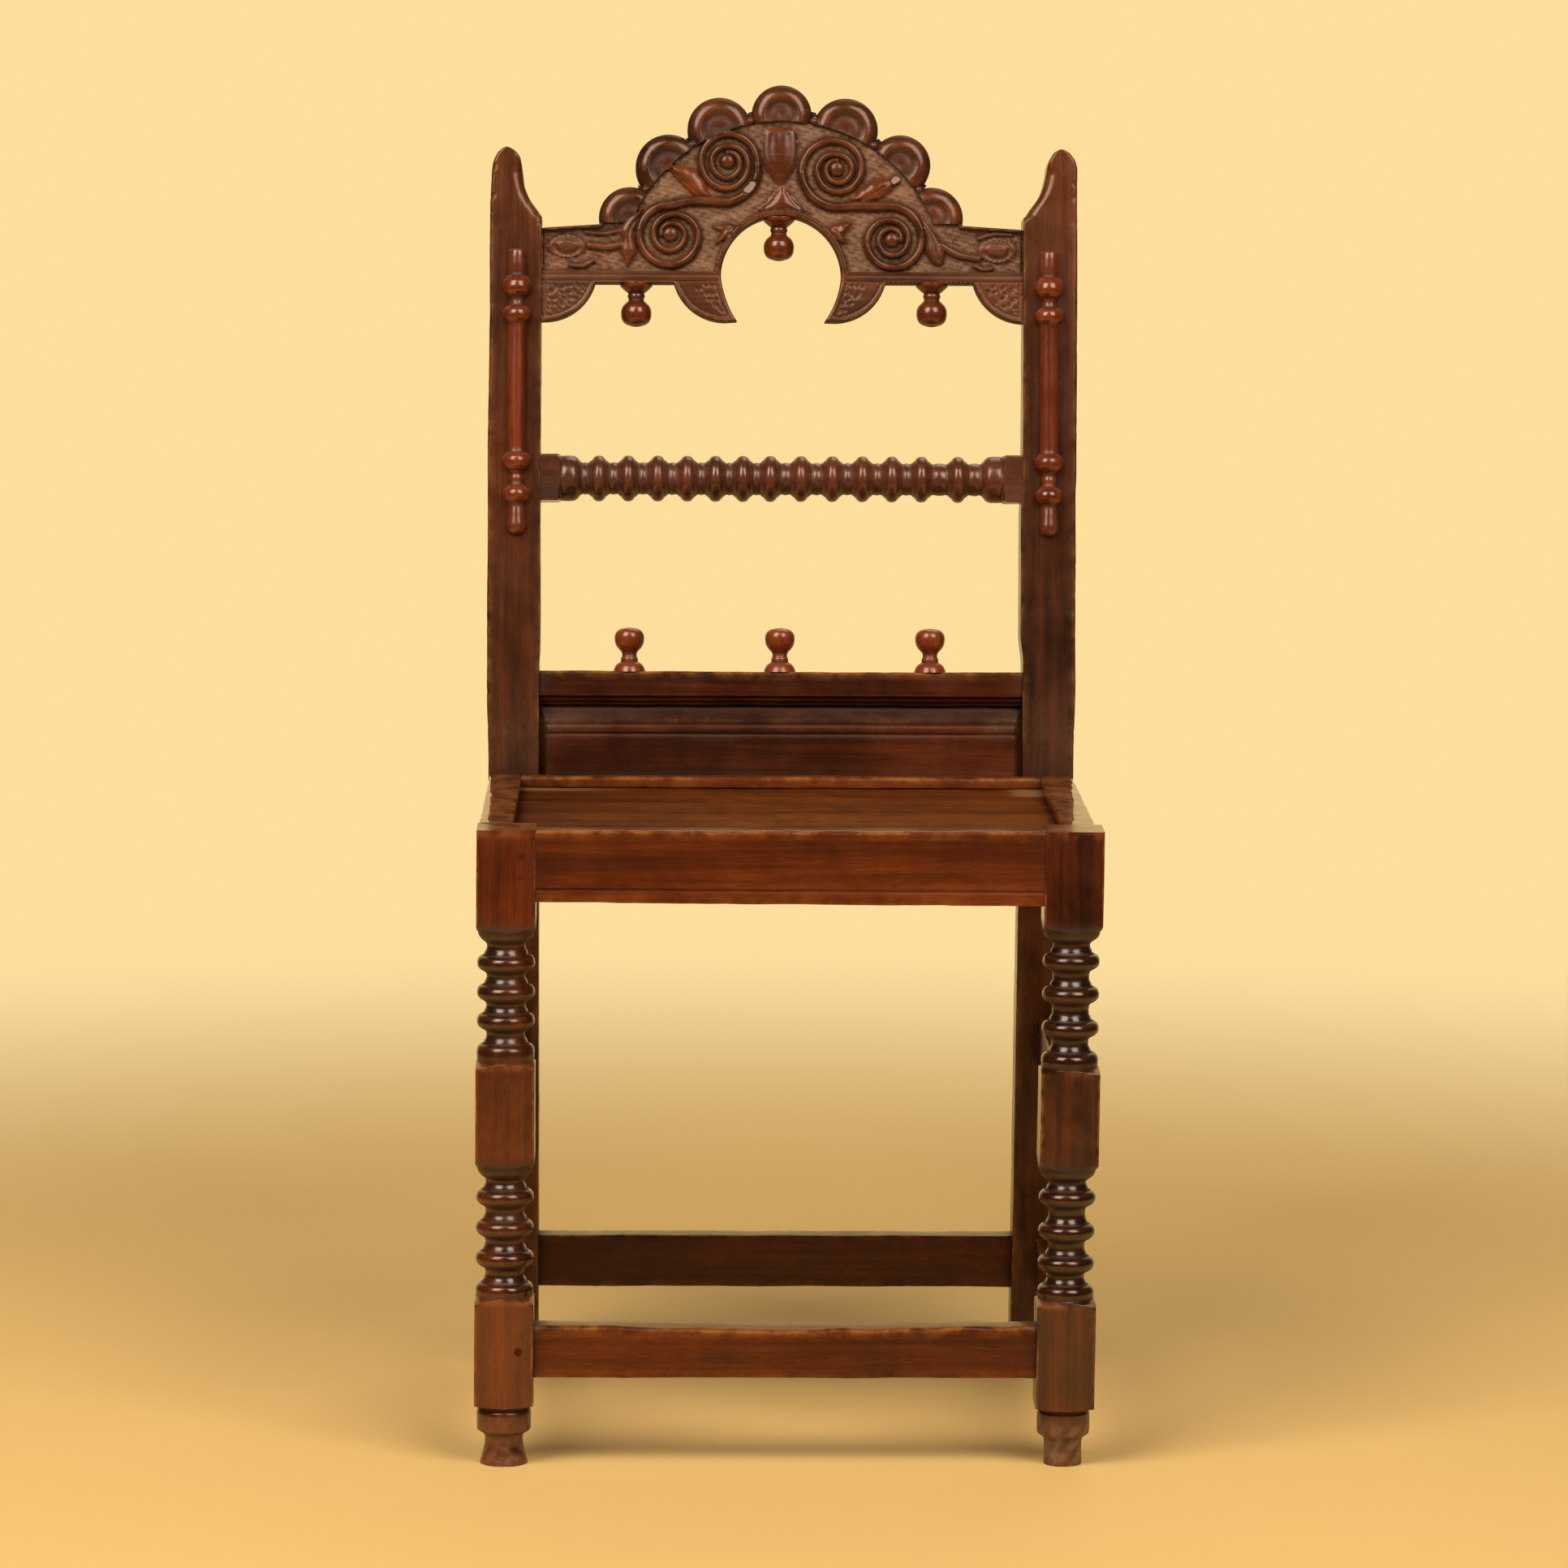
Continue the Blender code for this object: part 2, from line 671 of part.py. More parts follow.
def make_lower_back(raked, receivers):
    """The low rail above the seat and the fielded panel under it."""
    parent = raked[0]
    rail_y = (BACK_SETBACK, BACK_SETBACK + BACK_THICKNESS)
    panel_top = LOWER_RAIL_BOTTOM + PANEL_TONGUE
    tenon_z = (panel_top + GAP * 4, LOWER_RAIL_TOP - GAP * 4)
    rail = cross_timber(
        "lower_back_rail", POST_INNER, BACK_TENON_LENGTH, rail_y, (LOWER_RAIL_BOTTOM, LOWER_RAIL_TOP),
        TENON_INSET, tenon_z, raked, RAIL_OAK,
    )
    side = POST_INNER + PANEL_TONGUE
    bottom = (REAR_RAIL_TOP - KNEE) / math.cos(RAKE) - PANEL_TONGUE + PANEL_SETBACK * math.tan(RAKE)
    sheet = ((-side, PANEL_SETBACK, bottom), (side, PANEL_SETBACK + PANEL_THICKNESS, panel_top))
    panel = add_part("lower_back_panel", boxes_mesh("lower_back_panel", [sheet]), parent, RAIL_OAK)
    seat_line = (SEAT_TOP - KNEE) / math.cos(RAKE) + PANEL_SETBACK * math.tan(RAKE)
    field = field_mesh(POST_INNER - FIELD_MARGIN, seat_line + GAP * 4, LOWER_RAIL_BOTTOM - FIELD_MARGIN)
    boolean(panel, "UNION", add_cutter("lower_back_panel_field", field, parent))
    groove = add_cutter("panel_groove", boxes_mesh("panel_groove", [grown(sheet, GAP)]), parent)
    for receiver in [rail] + receivers:
        boolean(receiver, "DIFFERENCE", groove)
    return rail


def field_mesh(side, bottom, top):
    """The raised middle of the panel: a block whose front is drawn in at its ends and top."""
    front = PANEL_SETBACK - FIELD_RAISE
    bm = bmesh.new()
    size = Vector((side * 2, FIELD_RAISE + PANEL_THICKNESS / 2, top - bottom))
    middle = Vector((0.0, front + size.y / 2, (top + bottom) / 2))
    bmesh.ops.create_cube(bm, size=1.0, matrix=Matrix.Translation(middle) @ Matrix.Diagonal((*size, 1.0)))
    for vertex in bm.verts:
        if vertex.co.y < middle.y:
            vertex.co.x -= math.copysign(FIELD_BEVEL, vertex.co.x)
            if vertex.co.z > middle.z:
                vertex.co.z -= FIELD_BEVEL
    return mesh_from(bm, "lower_back_panel_field")


def ring_rail_profile():
    """The lathe shape of the middle rail, wider than the square at its end blocks."""
    corner = RING_RAIL_BLOCK
    block_end = POST_INNER - RING_RAIL_BLOCK_LENGTH
    collar_end = block_end - RING_RAIL_COLLAR
    first = collar_end - LAST_RING_INSET
    pitch = first * 2 / (BACK_RINGS - 1)
    shoulder = BACK_RING_WIDTH / 2
    half = [(0.0, POST_INNER), (corner, POST_INNER), (corner, block_end + shoulder)]
    half += [(RING_RAIL_BLOCK / 2, block_end), (BACK_RING_DIAMETER / 2, block_end - shoulder)]
    half.append((BACK_REEL_DIAMETER / 2, collar_end))
    profile = list(half)
    for index in range(BACK_RINGS):
        middle = first - pitch * index
        profile += swell(middle, BACK_RING_WIDTH, BACK_REEL_DIAMETER, BACK_RING_DIAMETER)
    return profile + [(radius, -along) for radius, along in reversed(half)]


def make_ring_rail(raked):
    parent, mortises = raked
    name = "ring_turned_rail"
    middle = POST / 2
    half = RING_RAIL_BLOCK / 2
    length = POST_INNER - GAP
    bar = ((-length, middle - half, RING_RAIL_RISE - half), (length, middle + half, RING_RAIL_RISE + half))
    rail = add_part(name, boxes_mesh(name, [bar]), parent, TURNED_OAK)
    lathe = add_cutter(name + "_lathe", profile_mesh(name + "_lathe", ring_rail_profile()), parent)
    lathe.location = (0.0, middle, RING_RAIL_RISE)
    lathe.rotation_euler = (0.0, math.radians(90), 0.0)
    turn_on_lathe(lathe, RAIL_STEPS)
    boolean(rail, "INTERSECT", lathe)
    tenon_y = (middle - TENON_THICKNESS / 2, middle + TENON_THICKNESS / 2)
    tenon_z = (RING_RAIL_RISE - RING_RAIL_TENON_HEIGHT / 2, RING_RAIL_RISE + RING_RAIL_TENON_HEIGHT / 2)
    tenoned(rail, cross_tenons(POST_INNER, BACK_TENON_LENGTH, tenon_y, tenon_z), parent, mortises)


def lobe_outline():
    """Right half of the scalloped top, from the shoulder up to the middle of the top lobe."""
    per_side = (LOBES - 1) // 2
    step = math.radians(LOBE_STEP_DEGREES)
    past = math.radians(LOBE_OVERRUN_DEGREES)
    points = []
    for index in range(per_side, -1, -1):
        outward = math.pi / 2 - step * index
        centre = (LOBE_CIRCLE * math.cos(outward), CREST_RISE + LOBE_CIRCLE * math.sin(outward))
        start = outward - math.pi / 2 - past
        end = outward + math.pi / 2 + past
        if index == per_side:
            drop = SHOULDER_RISE + CREST_SHOULDER_SLOPE - centre[1]
            start = math.asin(max(-1.0, min(1.0, drop / LOBE_RADIUS)))
        if index == 0:
            end = outward
        points += arc(centre, LOBE_RADIUS, start, end, LOBE_FACETS)
        if index > 0:
            valley = outward + step / 2
            radius = LOBE_CIRCLE - LOBE_NOTCH
            points.append((radius * math.cos(valley), CREST_RISE + radius * math.sin(valley)))
    return points


def crest_outline():
    """The crest seen from the front, from the top of its arch round the right half and back."""
    arch_centre = (0.0, CREST_RISE + ARCH_RISE)
    scallop = CREST_RISE + SCALLOP_RISE
    half = arc(arch_centre, ARCH_RADIUS, math.pi / 2, 0.0, ARCH_FACETS)
    fold = math.acos(CLAW_TIP / ARCH_RADIUS)
    for index in range(1, ARCH_FACETS):
        angle = fold * index / (ARCH_FACETS - 1)
        half.append((ARCH_RADIUS * math.cos(angle), arch_centre[1] - ARCH_DROP * math.sin(angle)))
    meeting = math.asin(SCALLOP_RISE / SCALLOP_RADIUS)
    half += arc((CLAW_CENTRE, scallop), SCALLOP_RADIUS, -math.pi / 2, -meeting, SCALLOP_FACETS)
    half += arc(
        (BRACKET_CENTRE, scallop), SCALLOP_RADIUS, math.pi + meeting, math.pi * 1.5, SCALLOP_FACETS,
    )
    end = POST_INNER - GAP
    half += [(end, scallop - SCALLOP_RADIUS), (end, SHOULDER_RISE)]
    half += lobe_outline()
    return half + [(-across, up) for across, up in reversed(half[1:-1])]


def make_crest(raked):
    parent, mortises = raked
    mesh = plate_mesh("crest", crest_outline(), BACK_SETBACK, BACK_SETBACK + BACK_THICKNESS, FACING_FRONT)
    crest = add_part("crest", mesh, parent, CARVED_OAK)
    tenon_y = (TENON_INSET, TENON_INSET + TENON_THICKNESS)
    tenon_z = (SHOULDER_RISE - TENON_ROOT - CREST_TENON_HEIGHT, SHOULDER_RISE - TENON_ROOT)
    tenoned(crest, cross_tenons(POST_INNER, BACK_TENON_LENGTH, tenon_y, tenon_z), parent, mortises)
    return crest


def knob_profile(length):
    """A turned knob on its dowel, from its crown down: ball, beaded neck, flared base, dowel."""
    profile = [(0.0, length), (KNOB_CROWN_DIAMETER / 2, length - KNOB_CROWN_DROP)]
    sweep = BALL_END_DEGREES - BALL_START_DEGREES
    for index in range(1, RING_FACETS + 1):
        angle = math.radians(BALL_START_DEGREES + sweep * index / RING_FACETS)
        radius = KNOB_DIAMETER / 2 * math.sin(angle)
        profile.append((radius, length - KNOB_BALL_DROP + KNOB_BALL_HALF * math.cos(angle)))
    profile.append((KNOB_NECK_DIAMETER / 2, KNOB_NECK_TOP))
    profile.append((KNOB_NECK_DIAMETER / 2, KNOB_NECK_BOTTOM))
    profile.append((KNOB_FLARE_DIAMETER / 2, KNOB_FLARE_RISE))
    profile.append((KNOB_BASE_DIAMETER / 2, GAP))
    profile += [(DOWEL_DIAMETER / 2, GAP), (DOWEL_DIAMETER / 2, -DOWEL_LENGTH), (0.0, -DOWEL_LENGTH)]
    return profile


def make_knobs(raked, crest, lower_rail):
    """Turned drops under the crest and turned finials on the lower rail."""
    parent = raked[0]
    middle = BACK_SETBACK + BACK_THICKNESS / 2
    crest_holes = []
    rail_holes = []
    hole = DOWEL_DIAMETER + GAP * 2
    depth = DOWEL_LENGTH + GAP
    arch_flat = ARCH_RADIUS * math.cos(math.pi / 4 / ARCH_FACETS)
    arch_seat = CREST_RISE + ARCH_RISE + math.sqrt(arch_flat ** 2 - KNOB_BASE_DIAMETER ** 2 / 4)
    for word, step in (("left", -1), ("middle", 0), ("right", 1)):
        rise = CREST_RISE if step else arch_seat
        drop = profile_mesh("crest_pendant_" + word, knob_profile(PENDANT_LENGTH))
        pendant = add_part("crest_pendant_" + word, drop, parent, TURNED_OAK)
        pendant.location = (step * PENDANT_SPACING, middle, rise)
        pendant.rotation_euler = (math.pi, 0.0, 0.0)
        turn_on_lathe(pendant, KNOB_STEPS)
        knob = profile_mesh("rail_finial_" + word, knob_profile(FINIAL_LENGTH))
        finial = add_part("rail_finial_" + word, knob, parent, TURNED_OAK)
        finial.location = (step * FINIAL_SPACING, middle, LOWER_RAIL_TOP)
        turn_on_lathe(finial, KNOB_STEPS)
        foot = Vector((step * PENDANT_SPACING, middle, rise))
        crest_holes.append((foot - Vector((0, 0, depth)), foot + Vector((0, 0, depth)), hole))
        head = Vector((step * FINIAL_SPACING, middle, LOWER_RAIL_TOP))
        rail_holes.append((head - Vector((0, 0, depth)), head + Vector((0, 0, depth)), hole))
    for part, holes in ((crest, crest_holes), (lower_rail, rail_holes)):
        name = part.name + "_dowel_holes"
        boolean(part, "DIFFERENCE", add_cutter(name, cylinders_mesh(name, holes, KNOB_STEPS), parent))


def spindle_profile():
    """A spindle from its top down: cap, ball, neck, ring, shaft, ring, vase, ring, long drop."""
    bead = SPINDLE_BEAD_DIAMETER
    barrel = SPINDLE_BARREL_DIAMETER
    neck = SPINDLE_NECK_DIAMETER
    level = 0.0
    profile = [(0.0, level), (SPINDLE_CAP_DIAMETER / 2, level)]
    profile.append((barrel / 2, level - SPINDLE_CAP_ROUND))
    level -= SPINDLE_CAP_LENGTH
    profile += swell(
        level - SPINDLE_BALL_LENGTH / 2, SPINDLE_BALL_LENGTH, SPINDLE_BALL_NECK_DIAMETER, bead,
    )
    level -= SPINDLE_BALL_LENGTH + SPINDLE_NECK_LENGTH
    profile += swell(level - SPINDLE_RING_LENGTH / 2, SPINDLE_RING_LENGTH, neck, bead)
    level -= SPINDLE_RING_LENGTH
    profile.append((SPINDLE_SHAFT_DIAMETER / 2, level))
    level -= SPINDLE_SHAFT_LENGTH
    profile.append((SPINDLE_SHAFT_DIAMETER / 2, level))
    profile.append((bead / 2, level - SPINDLE_VASE_SHOULDER))
    level -= SPINDLE_VASE_LENGTH
    profile += [(neck / 2, level), (neck / 2, level - SPINDLE_NECK_LENGTH)]
    level -= SPINDLE_NECK_LENGTH
    profile += swell(level - SPINDLE_RING_LENGTH / 2, SPINDLE_RING_LENGTH, neck, bead)
    level -= SPINDLE_RING_LENGTH
    end = level - SPINDLE_DROP_LENGTH
    profile += [(barrel / 2, level), (barrel / 2, end + barrel / 2)]
    return profile + [(SPINDLE_TIP_DIAMETER / 2, end + SPINDLE_TIP_ROUND), (0.0, end)]


def make_spindles(raked):
    parent = raked[0]
    length = -spindle_profile()[-1][1]
    for word, side in SIDES:
        name = "split_spindle_" + word
        axis = side * (WIDTH / 2 - SPINDLE_INSET)
        top = CREST_RISE + SPINDLE_TOP
        spindle = add_part(name, profile_mesh(name, spindle_profile()), parent, TURNED_OAK)
        spindle.location = (axis, 0.0, top)
        turn_on_lathe(spindle, SPINDLE_STEPS)
        reach = SPINDLE_BEAD_DIAMETER
        waste = ((axis - reach, -GAP, top - length - reach), (axis + reach, reach, top + reach))
        cutter = add_cutter(name + "_split", boxes_mesh(name + "_split", [waste]), parent)
        boolean(spindle, "DIFFERENCE", cutter)


def level_pegs():
    """Pegs of the stool frame: name, head on the outer face, direction and length."""
    pegs = []
    short = TENON_INSET + TENON_THICKNESS + PEG_TAIL
    long = REAR_TENON_INSET + TENON_THICKNESS + PEG_TAIL
    inward = Vector((0, 1, 0))
    forward = Vector((0, -1, 0))
    rail_tenon = inset_range(RAIL_BOTTOM, SEAT_HEIGHT, TENON_SHOULDER)
    pair = (("lower", rail_tenon[0] + RAIL_PEG_INSET), ("upper", rail_tenon[1] - RAIL_PEG_INSET))
    rail_middle = (RAIL_BOTTOM + SEAT_HEIGHT) / 2
    rear_middle = (RAIL_BOTTOM + REAR_RAIL_TOP) / 2
    leg_x = LEG_INNER + LEG_TENON / 2
    post_x = POST_INNER + POST_TENON / 2
    leg_y = LEG - LEG_TENON / 2
    for word, side in SIDES:
        sideways = Vector((-side, 0, 0))
        face = side * WIDTH / 2
        for place, height in pair:
            pegs.append((f"front_rail_peg_{word}_{place}", (side * leg_x, 0.0, height), inward, short))
            pegs.append((f"side_rail_peg_{word}_{place}", (face, leg_y, height), sideways, short))
        crossings = [("side_rail", rail_middle)]
        crossings.append(("low_stretcher", LOW_STRETCHER_MIDDLE))
        crossings.append(("high_stretcher", HIGH_STRETCHER_MIDDLE))
        for place, height in crossings:
            rear_y = post_front(height) + POST_TENON / 2
            pegs.append((f"{place}_rear_peg_{word}", (face, rear_y, height), sideways, short))
            if place != "side_rail":
                pegs.append((f"{place}_front_peg_{word}", (face, leg_y, height), sideways, short))
        low = LOW_STRETCHER_MIDDLE
        pegs.append((f"front_stretcher_peg_{word}", (side * leg_x, 0.0, low), inward, short))
        pegs.append((f"rear_stretcher_peg_{word}", (side * post_x, post_back(low), low), forward, long))
        head = (side * post_x, post_back(rear_middle), rear_middle)
        pegs.append((f"rear_rail_peg_{word}", head, forward, long))
    return pegs


def back_pegs():
    """Pegs of the back frame, driven from behind."""
    pegs = []
    forward = Vector((0, -1, 0))
    length = POST - TENON_INSET + GAP * 4
    middle = POST_INNER + BACK_TENON_LENGTH / 2
    tenon_top = SHOULDER_RISE - TENON_ROOT
    rail_middle = (LOWER_RAIL_TOP + LOWER_RAIL_BOTTOM + PANEL_TONGUE) / 2
    for word, side in SIDES:
        for place, drop in (("lower", CREST_TENON_HEIGHT - CREST_PEG_INSET), ("upper", CREST_PEG_INSET)):
            head = (side * middle, POST, tenon_top - drop)
            pegs.append((f"crest_peg_{word}_{place}", head, forward, length))
        pegs.append((f"lower_back_peg_{word}", (side * middle, POST, rail_middle), forward, length))
    return pegs


def make_pegs(pegs, parent, hole_name, receivers):
    holes = []
    for name, head, direction, length in pegs:
        head = Vector(head)
        tip = head + direction * length
        peg = cylinders_mesh(name, [(head, tip, PEG_DIAMETER)], PEG_SIDES)
        add_part(name, peg, parent, PEG_OAK)
        past = direction * PEG_DIAMETER
        holes.append((head - past, tip + direction * GAP, PEG_DIAMETER + GAP * 2))
    cutter = add_cutter(hole_name, cylinders_mesh(hole_name, holes, PEG_SIDES), parent)
    for receiver in receivers:
        boolean(receiver, "DIFFERENCE", cutter)


def make_backstool():
    stool = new_empty("stool_frame", PARTS, None, (0.0, -DEPTH / 2, 0.0), 0.0)
    back = new_empty("back_frame", PARTS, stool, (0.0, SEAT_DEPTH, KNEE), RAKE)
    level = (stool, [])
    raked = (back, [])
    legs = make_legs(level)
    posts = make_posts(level, raked)
    front_rail, front_stretcher, rear_rail, rear_stretcher = make_cross_timbers(level)
    side_rails, side_stretchers = make_side_timbers(level)
    make_seat(level, [front_rail] + side_rails)
    lower_rail = make_lower_back(raked, posts + [rear_rail])
    make_ring_rail(raked)
    crest = make_crest(raked)
    make_knobs(raked, crest, lower_rail)
    make_spindles(raked)
    level_cutter = add_cutter("mortises", boxes_mesh("mortises", level[1]), stool)
    back_cutter = add_cutter("back_mortises", boxes_mesh("back_mortises", raked[1]), back)
    for timber in legs + posts:
        boolean(timber, "DIFFERENCE", level_cutter)
    for post in posts:
        boolean(post, "DIFFERENCE", back_cutter)
    cross = [front_rail, front_stretcher, rear_rail, rear_stretcher]
    make_pegs(level_pegs(), stool, "peg_holes", legs + posts + cross + side_rails + side_stretchers)
    make_pegs(back_pegs(), back, "back_peg_holes", posts + [crest, lower_rail])


clear_scene()
PARTS = new_collection("backstool")
CUTTERS = new_collection("backstool_cutters")
make_backstool()
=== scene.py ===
"""The looks of a joined and carved oak backstool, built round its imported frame.

Lengths are millimetres until a mesh is made, and then metres. Points are drawn in two frames: the stool
frame, whose Y runs back from the front faces of the front legs, and the back frame, which leans with the
posts from the bend just above the seat and whose three directions are across, inward and up the slope.
"""

import math

import bpy
import numpy as np
from mathutils import Matrix, Vector, geometry


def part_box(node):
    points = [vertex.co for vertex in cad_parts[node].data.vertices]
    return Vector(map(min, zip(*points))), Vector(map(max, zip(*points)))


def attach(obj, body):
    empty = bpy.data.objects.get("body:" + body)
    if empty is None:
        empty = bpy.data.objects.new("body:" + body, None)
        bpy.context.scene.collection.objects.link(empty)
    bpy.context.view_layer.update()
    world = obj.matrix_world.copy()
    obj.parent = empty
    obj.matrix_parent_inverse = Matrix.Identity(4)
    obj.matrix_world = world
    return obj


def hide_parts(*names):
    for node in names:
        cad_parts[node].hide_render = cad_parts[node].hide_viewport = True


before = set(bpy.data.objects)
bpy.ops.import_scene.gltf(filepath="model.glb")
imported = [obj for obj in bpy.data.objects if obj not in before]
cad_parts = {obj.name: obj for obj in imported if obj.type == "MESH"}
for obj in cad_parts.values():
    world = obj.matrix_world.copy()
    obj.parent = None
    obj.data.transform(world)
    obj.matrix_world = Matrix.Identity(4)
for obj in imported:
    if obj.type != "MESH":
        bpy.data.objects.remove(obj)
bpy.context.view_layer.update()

MM = 0.001
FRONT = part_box("front_leg_left")[0].y / MM


def node_box(name):
    """Lowest and highest corner of a node, in the stool frame."""
    low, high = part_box(name)
    shift = np.array((0.0, FRONT, 0.0))
    return np.array(low) / MM - shift, np.array(high) / MM - shift


# The frame's own sizes
LEG_LOW, LEG_HIGH = node_box("front_leg_right")
POST_LOW, POST_HIGH = node_box("rear_post_right")
HALF_WIDTH = LEG_HIGH[0]
LEG = LEG_HIGH[0] - LEG_LOW[0]
SEAT_HEIGHT = LEG_HIGH[2]
POST_INNER = POST_LOW[0]
POST = POST_HIGH[0] - POST_LOW[0]
LEG_INNER = LEG_LOW[0]

# The bend of the posts and the lean of the back
SEAT_DEPTH = 355.0
KNEE = SEAT_HEIGHT + 6.0
RAKE = math.radians(7.69)
REAR_SPLAY = 13.0

# Levels of the back, up the slope from the bend
LOWER_RAIL_BOTTOM = 51.2
LOWER_RAIL_FACE = 57.8
LOWER_RAIL_TOP = 78.4
RING_RAIL_RISE = 235.8
CREST_RISE = 393.6
CREST_SHOULDER = 45.0
BACK_FACE = 4.0
BACK_THICKNESS = 24.0

# How far a timber's shoulder is let into its neighbour
HOUSED = 3.0

SIDES = (("left", -1), ("right", 1))


# Points and noise


def leaning(points):
    """From the back frame to the stool frame."""
    across, inward, up = np.asarray(points, float).T
    back = SEAT_DEPTH + inward * math.cos(RAKE) + up * math.sin(RAKE)
    height = KNEE - inward * math.sin(RAKE) + up * math.cos(RAKE)
    return np.stack((across, back, height), axis=1)


def upright(points):
    return np.asarray(points, float)


UP_THE_BACK = np.array((0.0, math.sin(RAKE), math.cos(RAKE)))
ACROSS = np.array((1.0, 0.0, 0.0))
INWARD = np.array((0.0, 1.0, 0.0))
UP = np.array((0.0, 0.0, 1.0))


def smoothstep(low, high, values):
    t = np.clip((values - low) / (high - low), 0.0, 1.0)
    return t * t * (3 - 2 * t)


def ripple(points, wavelength, seed):
    """Smooth noise, mostly between -1 and 1."""
    draw = np.random.default_rng(seed)
    points = np.asarray(points, float)
    total = np.zeros(len(points))
    for _ in range(7):
        direction = draw.normal(size=points.shape[1])
        direction /= np.linalg.norm(direction)
        length = wavelength * draw.uniform(0.6, 1.6)
        total += np.sin(points @ direction * (math.tau / length) + draw.uniform(0.0, math.tau))
    return total / 2.6


def smooth_path(stops, step):
    """Evenly spaced points along a smooth curve through the stops."""
    stops = np.asarray(stops, float)
    ends = np.vstack((2 * stops[0] - stops[1], stops, 2 * stops[-1] - stops[-2]))
    points = []
    for index in range(1, len(ends) - 2):
        before, start, end, after = ends[index - 1:index + 3]
        for t in np.linspace(0.0, 1.0, 16, endpoint=False):
            pull = (end - before) * t + (2 * before - 5 * start + 4 * end - after) * t ** 2
            points.append(start + 0.5 * (pull + (3 * start - before - 3 * end + after) * t ** 3))
    points.append(stops[-1])
    points = np.array(points)
    run = np.concatenate(([0.0], np.cumsum(np.linalg.norm(np.diff(points, axis=0), axis=1))))
    marks = np.linspace(0.0, run[-1], max(2, int(run[-1] / step) + 1))
    return np.stack([np.interp(marks, run, points[:, axis]) for axis in range(points.shape[1])], axis=1)


# Meshes

PIECES = []

# The surface marks of a piece and the lowest value of each. The dirt mark carries real dirt and painted shade.
MARKS = {"wear": 0.0, "dirt": 0.0, "dust": 0.0, "polish": 0.0, "tone": -1.0}


def add_piece(name, points, faces, marks, nodes, slot, along, sharp_degrees=40):
    """A finished piece from stool-frame points. Along is the direction of its grain."""
    mesh = bpy.data.meshes.new(name)
    place = (points + (0.0, FRONT, 0.0)) * MM
    mesh.from_pydata(place.tolist(), [], faces)
    mesh.polygons.foreach_set("use_smooth", np.ones(len(mesh.polygons), bool))
    mesh.set_sharp_from_angle(angle=math.radians(sharp_degrees))
    for mark, lowest in MARKS.items():
        values = np.clip(np.broadcast_to(marks.get(mark, 0.0), len(points)), lowest, 1.0)
        mesh.attributes.new(mark, "FLOAT", "POINT").data.foreach_set("value", values.astype(np.float32))
    along = along / np.linalg.norm(along)
    across = np.cross(along, INWARD if abs(along[1]) < 0.7 else UP)
    across /= np.linalg.norm(across)
    turn = np.stack((along, across, np.cross(along, across)))
    offset = np.random.default_rng(len(PIECES)).uniform(-0.5, 0.5, 3)
    grain = place @ turn.T + offset
    mesh.attributes.new("grain", "FLOAT_VECTOR", "POINT").data.foreach_set(
        "vector", grain.astype(np.float32).ravel()
    )
    mesh.update()
    piece = bpy.data.objects.new(name, mesh)
    bpy.context.scene.collection.objects.link(piece)
    mesh.materials.append(OAKS[slot])
    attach(piece, "root")
    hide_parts(*nodes)
    PIECES.append(piece)
    return piece


def loft_faces(rings, count):
    """Quads between rings of points, with a flat cap on the first and the last ring."""
    index = np.arange(rings * count).reshape(rings, count)
    ahead = np.roll(index, -1, axis=1)
    quads = np.stack((index[:-1], ahead[:-1], ahead[1:], index[1:]), axis=-1).reshape(-1, 4)
    return quads.tolist() + [index[0][::-1].tolist(), index[-1].tolist()]


def rounded(corners, spacing):
    """A closed outline with rounded corners, and how worn each of its points is.

    A corner is its two coordinates, the radius of its rounding and its wear.
    """
    points = []
    wear = []
    count = len(corners)
    for index, (first, second, radius, worn) in enumerate(corners):
        corner = np.array((first, second))
        before = np.array(corners[index - 1][:2]) - corner
        after = np.array(corners[(index + 1) % count][:2]) - corner
        after_length = np.linalg.norm(after)
        before /= np.linalg.norm(before)
        after /= after_length
        half = math.acos(np.clip(before @ after, -1.0, 1.0)) / 2
        reach = radius / math.tan(half)
        start = corner + before * reach
        end = corner + after * reach
        for t in np.linspace(0.0, 1.0, 6):
            points.append(start * (1 - t) ** 2 + corner * 2 * t * (1 - t) + end * t * t)
            wear.append(worn * (0.35 + 0.65 * math.sin(math.pi * t)))
        next_radius = corners[(index + 1) % count][2]
        free = after_length - reach - next_radius
        steps = max(1, int(free / spacing))
        for step in range(1, steps):
            points.append(end + after * free * step / steps)
            wear.append(0.0)
    return np.array(points), np.array(wear)


